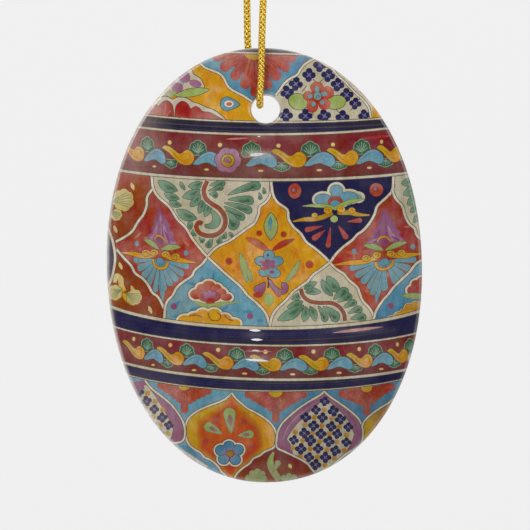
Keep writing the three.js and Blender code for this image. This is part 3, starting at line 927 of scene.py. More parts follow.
def navy_cell(picture):
    """The navy cell, with its half flower, wings and coral petals."""
    cell = joined([(1.3, 15.6), (22.6, 16.2)], RED_RIGHT_TOP, ORANGE_RIGHT_TOP, "back")
    picture.add(cell, "navy")
    for x, z, rx, rz in ((5.3, 13.0, 1.1, 1.3), (19.6, 13.2, 1.15, 1.15)):
        picture.edged(oval(x, z, rx, rz), "coral", "red", down(x, z, 1), "brick_deep", 0.06)
        picture.add(oval(x - 0.1, z + 0.1, 0.5 * rx, 0.5 * rz), "red_deep")
        picture.add(oval(x - 0.2, z + 0.15, 0.24, 0.3), "lilac")
    petals = [
        (10.3, 11.5, 1.45, 0.95), (14.8, 12.0, 1.55, 0.85), (12.6, 13.0, 1.1, 1.05),
        (12.5, 11.4, 2.2, 0.95),
    ]
    picture.cluster([(16.4, 11.9, 0.7, 0.5), *petals], "sky", "sky_grey", "cream", 0.3, 0.5)
    picture.cluster(petals[:3], "sky", "sky_grey", by=0.09)
    picture.add(oval(12.4, 10.9, 3.2, 0.55), "sky_grey")
    picture.edged(oval(12.4, 11.1, 1.3, 0.9), "coral", by=0.06)
    picture.edged(oval(12.4, 10.8, 0.85, 0.55), "sky", by=0.05)
    picture.edged(stroke([(6.7, 10.35), (9.0, 10.45), (11.0, 10.3), (12.3, 9.9)], 0.62, (0.2, 0.8)), "green",
                  by=0.06)
    picture.edged(stroke([(12.2, 9.8), (13.6, 10.6), (15.3, 11.2), (17.6, 11.65)], 0.66, (0.8, 0.25)),
                  "green", by=0.06)
    yellow_wing(picture, [(5.0, 7.65), (6.8, 8.0), (8.8, 8.1), (10.4, 8.5), (11.9, 9.2)], 0.75,
                [(11.1, 9.6, 0.7), (8.8, 8.75, 0.5)])
    yellow_wing(picture, [(18.4, 8.75), (16.6, 8.85), (15.0, 9.2), (13.6, 9.2), (12.8, 9.3)], 0.75,
                [(13.4, 9.8, 0.7), (15.3, 9.6, 0.6)])
    picture.edged(oval(12.2, 8.1, 0.65, 0.6), "green", by=0.05)
    for x0, z0, x1, z1, width in ((10.3, 6.9, 7.1, 6.1, 0.95), (10.7, 6.2, 8.4, 4.5, 1.05),
                                  (11.6, 6.8, 11.1, 3.1, 0.9), (12.9, 7.0, 14.5, 4.6, 1.0),
                                  (14.4, 7.6, 17.1, 7.9, 0.85)):
        picture.add(drop(x0, z0, x1, z1, width), "red_deep", "coral", ((x0, z0), (x1, z1)))


def blue_cells(picture):
    """Light blue cells with a red fan over yellow shells."""
    left = joined(ORANGE_LEFT_FOOT, [(0.9, -11.6), (-17.5, -10.6)], RED_LEFT_FOOT, "back")
    picture.add(left, "sky", "sky_grey", ((-9, -1), (-15, -6)))
    patches(picture, left, "sky_deep", 16, 1.8)
    lobes = [
        (-11.9, -5.1, 1.05, 0.85), (-11.0, -4.1, 0.85, 0.8), (-9.7, -3.6, 1.05, 0.85),
        (-8.4, -4.2, 0.95, 0.85), (-7.6, -4.9, 0.95, 0.85), (-6.7, -5.6, 1.0, 0.6), (-9.6, -5.4, 2.0, 1.1),
    ]
    picture.cluster(lobes, "red_light", "red_deep", "red_deep", 0.05, 0.42)
    picture.add(oval(-9.5, -5.3, 1.7, 0.9), "magenta", "red", ((-9.5, -4.6), (-9.5, -6.2)))
    picture.add(blossom(-9.6, -5.2, 1.2, 0.75, 6, 0.3), "violet", "magenta", ((-9.5, -4.6), (-9.5, -6.0)))
    picture.add(oval(-9.5, -6.4, 0.8, 0.7), "red_deep", "red", ((-9.5, -6), (-9.5, -7)))
    long_leaf = [(-12.3, -6.3), (-11.0, -6.9), (-9.4, -7.2), (-7.0, -6.7), (-4.3, -6.5)]
    picture.edged(stroke(long_leaf, 0.85, (0.2, 0.1)), "green", "pale_green", ((-12, -6.4), (-5, -6.4)),
                  "moss", 0.06)
    shells = [
        (-13.8, -9.7, 1.3, 0.9), (-12.2, -9.1, 1.1, 0.75), (-10.8, -8.7, 1.1, 0.95), (-8.8, -8.7, 1.2, 1.0),
        (-7.0, -9.5, 1.2, 0.9), (-5.4, -10.2, 1.2, 0.75), (-9.4, -10.4, 4.0, 1.2),
    ]
    picture.cluster(shells, "gold", "orange", "ochre", 0.05, 0.4)
    for points in ([(-9.9, -8.3), (-9.4, -9.5), (-8.2, -9.7), (-7.6, -8.9), (-8.3, -8.3)],
                   [(-13.2, -8.9), (-12.0, -8.7), (-10.9, -9.1)],
                   [(-7.0, -8.7), (-6.4, -9.4), (-5.4, -9.7)]):
        picture.line(points, 0.2, "stem")
    right = joined(RED_RIGHT_FOOT, [(29, -9), (19.2, -10.6)])
    picture.add(right, "sky", "sky_deep", ((27, 0), (21, -8)))
    picture.cluster([(25.8, -4.4, 0.8, 0.75), (26.6, -3.4, 0.9, 0.8), (27.7, -3.0, 1.0, 1.0),
                     (27.4, -4.6, 1.4, 0.9)],
                    "red_deep", "red", "red_deep", 0.05, 0.38)
    picture.leaf(24.0, -5.3, 28.6, -5.5, 0.95, "green", "pale_green", 0.0, "moss")
    picture.cluster([(22.4, -9.5, 0.9, 0.6), (23.5, -8.9, 0.8, 0.65), (24.5, -8.4, 0.8, 0.65),
                     (25.3, -7.5, 0.75, 0.75), (26.5, -7.2, 0.9, 0.8),
                     (26.0, -9.0, 2.6, 1.2)], "gold", "ochre", "ink", 0.07, 0.2)
    for x, z in ((-15.8, -7.2), (-2.5, -8.9), (22.1, -7.1)):
        picture.edged(oval(x, z, 0.5, 0.55), "magenta", edge="sky_deep", by=0.08)


def lattice(picture):
    """The wide band of large cells, and the cream lines between them."""
    picture.add(band(LATTICE_TOP, LATTICE_FOOT), "field")
    brick_cells(picture)
    red_cells(picture)
    cream_cell_left(picture)
    navy_cell(picture)
    cream_cell_far(picture)
    blue_cells(picture)
    cream_cell_right(picture)
    orange_cell(picture)
    for line in (RED_LEFT_TOP, RED_LEFT_FAR, RED_LEFT_LOW, RED_LEFT_FOOT, ORANGE_LEFT_TOP, ORANGE_RIGHT_TOP,
                 ORANGE_LEFT_FOOT, ORANGE_RIGHT_FOOT, RED_RIGHT_TOP, RED_RIGHT_FAR, RED_RIGHT_LOW,
                 RED_RIGHT_FOOT,
                 NAVY_SLIVER):
        picture.border(line, 0.4)


# ---------------------------------------------------------------- the skirt of ogee cells

OGEE_ORANGE_LEFT = [
    (-5.7, -22.4), (-6.8, -23.4), (-8.3, -24.1), (-10.2, -24.8), (-12.0, -25.7), (-13.3, -26.8),
    (-13.8, -28.2), (-13.8, -29.8), (-13.3, -31.2), (-12.4, -32.1), (-11.2, -32.8), (-10.5, -33.6),
    (-9.4, -34.1), (-8.3, -35.0), (-7.5, -36.1), (-6.2, -37.3),
]
OGEE_ORANGE_RIGHT = [
    (-5.7, -22.4), (-5.0, -23.3), (-4.0, -24.2), (-2.9, -25.1), (-1.5, -25.8), (0.1, -26.8), (1.3, -27.9),
    (2.0, -29.2), (2.1, -30.6), (1.6, -31.9), (0.1, -32.6), (-0.8, -33.3), (-1.9, -33.8), (-2.6, -34.7),
    (-3.8, -35.5), (-4.8, -36.5), (-5.4, -37.5),
]
OGEE_PURPLE_LEFT = [
    (10.5, -22.1), (9.5, -22.9), (7.9, -23.8), (6.1, -25.0), (4.4, -26.4), (3.1, -27.7), (2.4, -29.0),
    (2.15, -30.4), (2.2, -31.9), (3.5, -32.6), (5.0, -33.3), (6.4, -34.0), (7.6, -34.8), (8.3, -35.7),
    (9.2, -36.6),
]
OGEE_PURPLE_RIGHT = [
    (10.5, -22.1), (11.5, -23.0), (13.1, -24.1), (15.0, -25.5), (16.4, -26.8), (17.1, -28.2),
    (17.25, -29.8), (16.9, -31.2), (15.8, -32.1), (14.3, -33.0), (13.0, -34.1), (11.9, -35.0),
    (10.9, -36.2),
]
OGEE_FAR_LEFT = [
    (-20.9, -20.2), (-19.6, -21.7), (-17.9, -23.0), (-16.2, -24.5), (-14.9, -26.2), (-14.1, -27.8),
    (-13.9, -29.5), (-14.3, -30.7), (-15.6, -31.1), (-17.5, -31.0),
]
OGEE_FAR_RIGHT = [(17.1, -28.2), (17.5, -27.3), (18.6, -26.2), (20.4, -24.9), (22.0, -23.9), (24.5, -22.0)]
FIELD_STEP = ((1.7, 1.3), (-1.3, 1.45))  # the two ways from one flower of a checked field to the next


def checked_field(picture, outline, x, z, reach, size):
    """A cream field set with dark four-petalled flowers and ochre dots, on a slanted grid."""
    picture.edged(outline, "cream", "field", ((0, -24), (0, -36)), by=0.1)
    steps = np.array(FIELD_STEP)
    for i in range(-reach, reach + 1):
        for j in range(-reach, reach + 1):
            flower = np.array([x, z]) + i * steps[0] + j * steps[1]
            spot = flower + steps.sum(axis=0) / 2
            if inside(spot[None], outline)[0]:
                dot = blossom(*spot, 0.48, 0.5, 4, 0.15, 90 * random.random())
                picture.add(dot, "ochre", "gold", (spot - 0.5, spot + 0.5))
            flower = flower + (random.uniform(-0.14, 0.14), random.uniform(-0.12, 0.12))
            if inside(flower[None], outline)[0]:
                dots_flower(picture, *flower, size * random.uniform(0.9, 1.08))


def purple_ogee(picture):
    """The purple cell with a checked field, on the right."""
    outline = joined(OGEE_PURPLE_LEFT, "back", OGEE_PURPLE_RIGHT)
    picture.add(outline, "purple", "magenta", ((4, -28), (3, -32)))
    field = [
        (10.6, -23.0), (11.6, -24.2), (13.0, -25.3), (14.3, -26.7), (15.1, -28.0), (15.7, -29.6),
        (15.2, -31.2), (14.3, -32.6), (12.8, -33.9), (11.4, -35.2), (9.8, -36.6), (8.9, -36.0),
        (8.1, -34.9), (6.6, -33.8), (5.0, -33.0), (4.6, -31.4), (3.9, -30.4), (4.8, -29.0), (5.8, -27.7),
        (7.0, -26.5), (8.4, -25.2), (9.8, -24.0),
    ]
    checked_field(picture, np.array(field), 9.5, -32.2, 4, 0.86)
    picture.line([(9.2, -23.9), (7.2, -25.3), (5.2, -27.0), (3.9, -28.8), (3.2, -30.6)], 0.3, "violet",
                 (0.2, 0.4))
    picture.line([(12.9, -24.6), (14.9, -26.2), (16.0, -28.0), (16.4, -29.8)], 0.3, "magenta", (0.2, 0.4))


def far_left_ogee(picture):
    """The same kind of cell at the far left, and the blue and cream under it."""
    picture.add(joined(OGEE_FAR_LEFT, [(-22, -31), (-30, -21)]), "purple", "magenta",
                ((-16, -26), (-15, -30)))
    field = [
        (-20.7, -20.9), (-19.3, -22.6), (-18.2, -24.4), (-17.2, -26.0), (-16.5, -27.4), (-16.0, -28.8),
        (-16.3, -30.2), (-17.4, -31), (-30, -31), (-30, -22), (-22.4, -21.8),
    ]
    checked_field(picture, np.array(field), -19.3, -25.2, 3, 0.84)
    picture.add([(-24, -21), (-21.3, -20.7), (-20.9, -21.6), (-22.8, -22.3)], "purple")
    picture.add(joined([(-18.6, -31.2), (-16, -31.3), (-13.4, -31.6)], [(-8, -36.4), (-12, -36)]),
                "sky_deep")
    picture.line([(-15.2, -32.2), (-13.4, -33.1), (-11.6, -34.3), (-10.0, -35.4)], 0.5, "field")
    picture.line([(-14.2, -33.0), (-12.4, -34.1), (-11.0, -35.1)], 0.35, "violet")


def orange_ogee(picture):
    """The orange cell, with a blue flower and three green petals."""
    outline = joined(OGEE_ORANGE_LEFT, "back", OGEE_ORANGE_RIGHT)
    picture.add(outline, "yellow", "orange", ((-13, -26), (-9, -31)))
    heart = spline([(-5.8, -23.3), (-7.6, -24.9), (-9.6, -26.2), (-11.2, -27.3), (-11.7, -29.0),
                    (-11.2, -30.6), (-11.3, -31.9), (-10.2, -33.2), (-8.4, -34.5), (-7.3, -35.9),
                    (-5.8, -36.9), (-4.4, -35.6), (-2.8, -34.2), (-1.4, -33.0), (-0.4, -31.8),
                    (-0.6, -30.2), (-1.0, -28.6), (-2.3, -27.0), (-3.9, -25.4),
                    (-5.1, -23.9)], 3, closed=True)
    picture.soft(heart, "yellow", "ember", 1.3)
    for x0, z0, x1, z1, width in ((-5.8, -29.4, -6.2, -25.0, 2.1), (-7.4, -29.5, -10.4, -27.9, 1.6),
                                  (-4.6, -29.8, -1.9, -29.5, 1.35)):
        picture.edged(drop(x0, z0, x1, z1, width), "pale_green", "green", ((x0, z0), (x1, z1)), "moss", 0.08)
        inner = (0.7 * x0 + 0.3 * x1, 0.7 * z0 + 0.3 * z1, 0.25 * x0 + 0.75 * x1, 0.25 * z0 + 0.75 * z1)
        picture.edged(leaf(*inner, 0.4 * width), "violet", "stem", ((x0, z0), (x1, z1)), "moss", 0.06)
    petals = [(-6.2, -31.7), (-4.6, -32.3), (-5.1, -34.0), (-7.1, -33.9), (-7.6, -32.4)]
    picture.cluster([(x, z, 0.95, 0.9) for x, z in petals], "sky", "sky_deep", by=0.1, halo=0.36)
    for x, z in petals:
        picture.edged(oval(x, z, 0.92, 0.86), "violet", "sky_deep", ((-6, -33), (x, z)), by=0.07)
    picture.edged(oval(-5.95, -33.0, 0.55, 0.52), "ochre", by=0.12)
    for x, z in ((-8.4, -26.9), (-10.3, -30.9), (-2.4, -31.8), (-3.6, -27.4)):
        picture.add(oval(x, z, 0.5, 0.45), "coral")


def maroon_cell(picture):
    """The dark cell at the foot, with a pale green scroll."""
    picture.add([(-5.6, -37), (-3.4, -35.2), (-1.6, -33.6), (0.4, -32.6), (1.8, -31.6), (3.8, -32.7),
                 (6.4, -34.0), (7.8, -35.0), (9.4, -37), (4, -39), (-3, -39)], "maroon", "brick_deep",
                ((1, -33), (1, -38)))
    stem = [(1.6, -32.7), (1.1, -34.0), (1.1, -35.2), (1.8, -36.4), (2.6, -37.6)]
    picture.edged(stroke(stem, 1.15, (0.3, 1.2)), "green", "pale_green", (stem[0], stem[-1]), "brick_deep",
                  0.06)
    picture.edged(drop(1.5, -36.2, 2.6, -34.2, 1.0), "pale_green", edge="brick_deep", by=0.06)
    for tip_x, tip_z in ((-3.3, -37.0), (-2.4, -36.0), (-1.3, -35.6), (-0.3, -36.0), (0.2, -36.9)):
        picture.edged(drop(-0.8, -38.3, tip_x, tip_z, 1.1), "pale_green", edge="moss", by=0.05)
    for tip_x, tip_z in ((3.2, -36.8), (4.4, -36.4), (5.6, -36.8)):
        picture.edged(drop(4.0, -38.2, tip_x, tip_z, 1.0), "pale_green", edge="moss", by=0.05)
    picture.add(leaf(4.3, -34.7, 4.7, -35.6, 0.6), "shell")


def skirt(picture):
    """Everything under the last navy band: red fans on blue, and the cells between them."""
    picture.add(band(SKIRT_TOP, Level(-42, 0)), "sky", "sky_deep", ((-8, -24), (8, -30)))
    pale, deep = ("red_light", "red", "red"), ("red", "red_deep", "brick")
    for x, z, wide, high, disc, side, reds in ((-14.0, -21.2, 4.7, 4.7, 1.05, -0.12, pale),
                                               (2.0, -22.3, 5.4, 5.2, 1.2, 0.0, deep),
                                               (17.9, -21.6, 4.9, 4.6, 0.95, 0.15, deep)):
        tips = []
        for part in (1.0, 0.8, 0.6, 0.4, 0.2):
            tips += [(x + way * wide * part, z - 0.4 - 0.68 * high * (1 - part) + side * way * wide * part)
                     for way in (-1, 1)]
        fill = [(x, z + 0.4), *sorted((x + 0.8 * (tx - x), z + 0.8 * (tz - z)) for tx, tz in tips)]
        picture.add(np.array(fill), "red")
        petal_fan(picture, x, z + 0.2, [*tips, (x, z - high)], 1.25, reds, disc)
    far_right = [(17.2, -28.4), (18.6, -26.2), (22.2, -23.8), (25, -22), (22, -30), (16, -33)]
    picture.add(far_right, "yellow", "ochre", ((18, -27), (20, -26)))
    picture.add([(18.2, -30.6), (19.8, -27.4), (22.6, -24.0), (24, -26), (19, -32)], "rust")
    orange_ogee(picture)
    purple_ogee(picture)
    far_left_ogee(picture)
    maroon_cell(picture)
    for line in (OGEE_ORANGE_LEFT, OGEE_ORANGE_RIGHT, OGEE_PURPLE_LEFT, OGEE_PURPLE_RIGHT, OGEE_FAR_LEFT,
                 OGEE_FAR_RIGHT):
        picture.border(line, 0.32)


# ---------------------------------------------------------------- from the picture to a mesh

PRINT_LIFT = 0.02  # how far the print's sheet stands over the porcelain
PRINT_EDGE = 0.02  # where the print starts, inside the plate's outline
PRINT_FADE = 0.11  # where its colours are full
PRINT_RINGS = (PRINT_EDGE, 0.06, PRINT_FADE, 0.2, 0.32, 0.5, EDGE_RADIUS, 0.85, 1.1)
PRINT_GRID = 0.62
BODY_RINGS = (0.0, 0.02, 0.08, 0.18, 0.32, 0.5, EDGE_RADIUS, 1.4)
BODY_GRID = 4.0
GRID_ROW = 0.87  # rows of a triangle grid, as a part of its step
MERGE_DISTANCE = 1e-4


def inside(points, outline):
    """Which points lie inside the closed outline, by its winding number."""
    a, b = outline, np.roll(outline, -1, axis=0)
    x, z = points[:, :1], points[:, 1:]
    side = (b[:, 0] - a[:, 0]) * (z - a[:, 1]) - (x - a[:, 0]) * (b[:, 1] - a[:, 1])
    up = (a[:, 1] <= z) & (b[:, 1] > z) & (side > 0)
    down = (a[:, 1] > z) & (b[:, 1] <= z) & (side < 0)
    return up.sum(axis=1) != down.sum(axis=1)


def flat_mesh(outlines, grid):
    """Triangles over the plate's face, with an edge along every outline. Returns points and triangles."""
    points, edges = [], []
    for outline in outlines:
        first = len(points)
        points.extend(outline)
        edges.extend((first + i, first + (i + 1) % len(outline)) for i in range(len(outline)))
    for row, z in enumerate(np.arange(-PLATE_HEIGHT / 2, PLATE_HEIGHT / 2, grid * GRID_ROW)):
        shift = grid / 2 * (row % 2)
        points.extend((x + shift, z) for x in np.arange(-PLATE_WIDTH / 2, PLATE_WIDTH / 2, grid))
    made = delaunay_2d_cdt([Vector(p) for p in points], edges, [], 0, MERGE_DISTANCE, False)
    return np.array([tuple(v) for v in made[0]]), np.array([tuple(f) for f in made[2]])


def compacted(points, faces):
    """The points that the faces use, and the faces counted over those alone."""
    used, compact = np.unique(faces, return_inverse=True)
    return points[used], compact.reshape(faces.shape)


def edge_rings(insets):
    """The plate's outline at each inset, and then its hole, as much wider."""
    rings = [plate_outline(inset) for inset in insets]
    for inset in insets:
        rings.append(oval(*HOLE, HOLE_RADIUS + inset, HOLE_RADIUS + inset, steps=HOLE_STEPS))
    return rings


def shade_of(points, shape):
    """The shape's colour at each point."""
    _, colour, to, ends = shape
    first = linear(COLOURS.get(colour, colour))
    if to is None:
        return np.tile(first, (len(points), 1))
    start, stop = np.asarray(ends, float)
    way = stop - start
    t = np.clip((points - start) @ way / (way @ way), 0, 1)[:, None]
    return first * (1 - t) + linear(COLOURS[to]) * t


def smooth_step(value, low, high):
    """From 0 at low to 1 at high, level at both ends."""
    t = np.clip((value - low) / (high - low), 0, 1)
    return t * t * (3 - 2 * t)


# Pale places in the picture: x, z, half width, half height and strength.
SHINES = (
    (-0.8, 19.4, 2.6, 0.7, 0.5), (-0.9, 22.4, 2.5, 0.5, 0.2), (-0.8, -16.4, 2.4, 0.5, 0.25),
    (0.0, 16.5, 9.0, 1.6, 0.07), (-1.5, -12.2, 1.6, 0.6, 0.08), (16.0, -11.3, 4.5, 0.5, 0.12),
    (-23.0, 17.5, 3.0, 3.0, 0.1), (-25, -25, 5, 4, 0.12),
)


def mixed(colours, to, part):
    """The colours with a part of a second one in each."""
    return colours * (1 - part)[:, None] + linear(COLOURS[to]) * part[:, None]


def printed_light_and_edge_highlight(colours, points):
    """The light that lay on the painted pot, pale at its left and top and darker at its right and foot.
    Along the plate's rounded edge a painted highlight makes it paler, more at its left, and the print is
    white where it ends."""
    x, z = points[:, 0], points[:, 1]
    shoulder = 0.32 * smooth_step(-x, 15, 25) * smooth_step(z, 12, 26)
    top = 0.16 * smooth_step(z, 33, 38.5)
    left_edge = 0.2 * smooth_step(-x, 25, 28.5)
    left_foot = 0.1 * smooth_step(-x, 8, 24) * smooth_step(-z, 10, 30)
    pale = shoulder + top + left_edge + left_foot
    for at_x, at_z, wide, high, strength in SHINES:
        pale = pale + strength * np.exp(-(((x - at_x) / wide) ** 2) - ((z - at_z) / high) ** 2)
    right = 0.16 * smooth_step(x, 14, 28)
    foot = 0.07 * smooth_step(-z, 4, 20) + 0.08 * smooth_step(-z, 20, 25)
    right_foot = 0.2 * smooth_step(x, -6, 18) * smooth_step(-z, 15, 27)
    lighter_top = 0.05 * smooth_step(z, 12, 20)
    dark = right + foot + right_foot - lighter_top
    depth = depth_inside(points)
    # Painted highlight: white mixed in along the plate's rounded edge, stronger towards its left.
    edge_highlight = (1 - smooth_step(depth, 0.05, 0.75)) * (0.15 + 0.45 * smooth_step(-x, 2, 20))
    colours = mixed(colours * (1 - dark)[:, None], "haze", pale)
    colours = mixed(colours, "white", edge_highlight)
    return mixed(colours, "white", 1 - smooth_step(depth, PRINT_EDGE, PRINT_FADE))


def painted_face(picture, name):
    """The picture as a thin sheet of coloured triangles over the plate's front."""
    outlines = [shape[0] for shape in picture.shapes] + edge_rings(PRINT_RINGS)
    points, faces = flat_mesh(outlines, PRINT_GRID)
    faces = faces[depth_inside(points[faces].mean(axis=1)) > PRINT_EDGE]
    middles = points[faces].mean(axis=1)
    owner = np.full(len(faces), -1)
    for k, shape in enumerate(picture.shapes):
        low, high = shape[0].min(axis=0), shape[0].max(axis=0)
        near = np.flatnonzero(((middles >= low) & (middles <= high)).all(axis=1))
        owner[near[inside(middles[near], shape[0])]] = k
    corners = points[faces].reshape(-1, 2)
    colours = np.zeros((len(corners), 3))
    corner_owner = np.repeat(owner, 3)
    for k, shape in enumerate(picture.shapes):
        mine = corner_owner == k
        colours[mine] = shade_of(corners[mine], shape)
    points, faces = compacted(points, faces)
    y = -(half_thickness(points) + PRINT_LIFT)
    place = np.stack([points[:, 0], y, points[:, 1]], axis=1) + PLATE_MIDDLE
    return mesh_object(name, place, faces, printed_light_and_edge_highlight(colours, corners))


def mesh_object(name, points, faces, colours=None):
    """A smooth mesh object from points in millimetres, with a colour for each corner if given."""
    mesh = bpy.data.meshes.new(name)
    mesh.from_pydata((np.asarray(points) * MM).tolist(), [], [list(map(int, f)) for f in faces])
    mesh.polygons.foreach_set("use_smooth", [True] * len(mesh.polygons))
    if colours is not None:
        paint = mesh.color_attributes.new("paint", "FLOAT_COLOR", "CORNER")
        paint.data.foreach_set("color", np.c_[colours, np.ones(len(colours))].ravel())
    mesh.update()
    made = bpy.data.objects.new(name, mesh)
    bpy.context.scene.collection.objects.link(made)
    return made


def porcelain_body():
    """The bare plate, closed all round, under its printed face."""
    rings = edge_rings(BODY_RINGS)
    points, faces = flat_mesh(rings, BODY_GRID)
    faces = faces[depth_inside(points[faces].mean(axis=1)) > 0]
    points, faces = compacted(points, faces)
    half = half_thickness(points)
    count = len(points)
    front = np.stack([points[:, 0], -half, points[:, 1]], axis=1)
    back = np.stack([points[:, 0], half, points[:, 1]], axis=1)
    everything = [list(f) for f in faces] + [[int(i) + count for i in f[::-1]] for f in faces]
    for ring, outward in ((rings[0], 1), (rings[len(BODY_RINGS)], -1)):
        index = [int(np.argmin(np.linalg.norm(points - p, axis=1))) for p in ring]
        for a, b in zip(index, index[1:] + index[:1]):
            quad = [a, b, b + count, a + count]
            everything.append(quad[::outward])
    return mesh_object("ornament_body", np.concatenate([front, back]) + PLATE_MIDDLE, everything)


# ---------------------------------------------------------------- the cord


def frames_along(line):
    """Two unit directions square to the line at each of its points, without twist."""
    ahead = np.gradient(line, axis=0)
    ahead /= np.linalg.norm(ahead, axis=1)[:, None]
    side = np.cross(ahead[0], (0.3, 1.0, 0.2))
    sides = []
    for a in ahead:
        side = side - a * (side @ a)
        side = side / np.linalg.norm(side)
        sides.append(side)
    sides = np.array(sides)
    return sides, np.cross(ahead, sides)


def swept(line, sides, ups, rx, rz, corners, first=0):
    """A closed tube along the line. rx and rz are its half widths along the two directions."""
    t = np.linspace(0, 2 * np.pi, corners, endpoint=False)
    ring = line[:, None] + rx * np.cos(t)[None, :, None] * sides[:, None]
    ring = ring + rz * np.sin(t)[None, :, None] * ups[:, None]
    faces = []
    for i in range(len(line) - 1):
        for k in range(corners):
            a, b = i * corners + k, i * corners + (k + 1) % corners
            faces.append([first + a, first + a + corners, first + b + corners, first + b])
    faces.append([first + k for k in range(corners)])
    faces.append([first + (len(line) - 1) * corners + k for k in range(corners)][::-1])
    return ring.reshape(-1, 3), faces


BRAID_PITCH = 3.6
BRAID_CARRIERS = 4  # yarns that wind each way
BRAID_STEPS = 20  # points in one pitch
CORE_RADIUS = 0.22 * CORD_DIAMETER
CORE_CORNERS = 8
YARN_REACH = 0.35 * CORD_DIAMETER  # from the braid's centreline to a yarn's
YARN_WAVE = 0.075 * CORD_DIAMETER  # how far a yarn moves out and in where it crosses others
YARN_HALF_WIDTH = 0.2 * CORD_DIAMETER
YARN_HALF_THICKNESS = 0.13 * CORD_DIAMETER
YARN_CORNERS = 8


def braid(name, points):
    """A round braid along the points: flat yarns that wind both ways and pass over and under each other.
    Its "paint" is how far out each corner stands on its yarn, and the gold material paints shade from it:
    dark at each yarn's sides and on the core between yarns. Returns the object and its centreline."""
    line = even(spline(points, 10), BRAID_PITCH / BRAID_STEPS)
    sides, ups = frames_along(line)
    at = np.arange(len(line)) * BRAID_PITCH / BRAID_STEPS * 2 * np.pi / BRAID_PITCH
    core, core_faces = swept(line, sides, ups, CORE_RADIUS, CORE_RADIUS, CORE_CORNERS)
    everything, faces = [core], core_faces
    for way in (1, -1):
        for carrier in range(BRAID_CARRIERS):
            angle = way * at + 2 * np.pi * carrier / BRAID_CARRIERS
            out = np.cos(angle)[:, None] * sides + np.sin(angle)[:, None] * ups
            reach = YARN_REACH + way * YARN_WAVE * np.cos(BRAID_CARRIERS * at)
            yarn = line + out * reach[:, None]
            ahead = np.gradient(yarn, axis=0)
            ahead /= np.linalg.norm(ahead, axis=1)[:, None]
            flat = np.cross(ahead, out)
            flat /= np.linalg.norm(flat, axis=1)[:, None]
            first = sum(map(len, everything))
            made, more = swept(yarn, flat, out, YARN_HALF_WIDTH, YARN_HALF_THICKNESS, YARN_CORNERS, first)
            everything.append(made)
            faces = faces + more
    points = np.concatenate(everything)
    # Painted shade: each yarn is bright along its outer face and dark at its sides, and the core is dark all
    # over.
    height = smooth_step(np.sin(np.linspace(0, 2 * np.pi, YARN_CORNERS, endpoint=False)), -0.2, 1.0)
    yarn_shading = np.r_[np.zeros(len(core)), np.tile(height, (len(points) - len(core)) // YARN_CORNERS)]
    corners = [corner for face in faces for corner in face]
    return mesh_object(name, points, faces, np.repeat(yarn_shading[corners][:, None], 3, axis=1)), line


def cord_route():
    """The loop's centreline: from the knot down the back, through the hole and up the front."""
    middle = BEARING[2] - BEND_DEPTH + BEND_RADIUS
    bend = []
    for degrees in range(30, 151, 30):
        turn = math.radians(degrees)
        bend.append((BEARING[0], BEND_RADIUS * math.cos(turn), middle - BEND_RADIUS * math.sin(turn)))
    return [(-STRAND_OFFSET, 0.0, LOOP_TOP), *BACK_STRAND, *bend, *FRONT_STRAND,
            (STRAND_OFFSET, 0.0, LOOP_TOP)]


KNOT_RADIUS = 1.42
KNOT_TOP = 3.9
KNOT_TURN = math.radians(50)  # how far round each step goes
KNOT_FALL = 0.33  # how far down each step goes
KNOT_STEPS = 9


def knot_route(side):
    """One strand's way through an overhand knot: up its core, over the top, round it and out again."""
    points = [(STRAND_OFFSET * side, 0, 0.2), (0.34 * side, 0.1 * side, 1.6), (0.3 * side, 0.2, 3.2)]
    start = math.radians(-40 if side > 0 else 140)
    radius = KNOT_RADIUS + 0.05 * side
    for k in range(KNOT_STEPS):
        angle = start + KNOT_TURN * k
        points.append((radius * math.cos(angle), radius * math.sin(angle), KNOT_TOP - KNOT_FALL * k))
    points.append((0.7 * side, 0.5 * side, 1.1))
    points.append((0.3 * side, -0.3 * side, 2.4))
    return points


# ---------------------------------------------------------------- materials


class Nodes:
    """A short way to write a material's nodes."""

    def __init__(self, name):
        self.material = bpy.data.materials.new(name)
        self.material.use_nodes = True
        self.tree = self.material.node_tree
        self.shader = self.tree.nodes["Principled BSDF"]

    def new(self, kind, **values):
        """A node of a kind, with its settings."""
        node = self.tree.nodes.new(kind)
        for key, value in values.items():
            setattr(node, key, value)
        return node

    def link(self, source, target):
        self.tree.links.new(source, target)

    def noise(self, scale, detail=3.0, rough=0.5, stretch=(1, 1, 1)):
        """Noise over the object, with so many patches to a metre."""
        place = self.new("ShaderNodeTexCoord")
        mapping = self.new("ShaderNodeMapping")
        mapping.inputs["Scale"].default_value = stretch
        noise = self.new("ShaderNodeTexNoise")
        noise.inputs["Scale"].default_value = scale
        noise.inputs["Detail"].default_value = detail
        noise.inputs["Roughness"].default_value = rough
        self.link(place.outputs["Object"], mapping.inputs["Vector"])
        self.link(mapping.outputs["Vector"], noise.inputs["Vector"])
        return noise.outputs["Fac"]

    def ranged(self, value, low, high, from_low=0.3, from_high=0.7):
        """A value brought from one range into another. Noise lies mostly between 0.3 and 0.7."""
        node = self.new("ShaderNodeMapRange")
        node.inputs["From Min"].default_value = from_low
        node.inputs["From Max"].default_value = from_high
        node.inputs["To Min"].default_value = low
        node.inputs["To Max"].default_value = high
        self.link(value, node.inputs["Value"])
        return node.outputs["Result"]

    def times(self, a, b):
        """Two values multiplied."""
        node = self.new("ShaderNodeMath", operation="MULTIPLY")
        self.link(a, node.inputs[0])
        self.link(b, node.inputs[1])
        return node.outputs["Value"]

    def scaled(self, colour, value):
        """A colour made lighter or darker by a value."""
        node = self.new("ShaderNodeVectorMath", operation="SCALE")
        self.link(colour, node.inputs[0])
        self.link(value, node.inputs["Scale"])
        return node.outputs["Vector"]

    def bump(self, height, strength, distance):
        """Small relief on the shader's own surface, so many metres high."""
        node = self.new("ShaderNodeBump")
        node.inputs["Strength"].default_value = strength
        node.inputs["Distance"].default_value = distance
        self.link(height, node.inputs["Height"])
        self.link(node.outputs["Normal"], self.shader.inputs["Normal"])


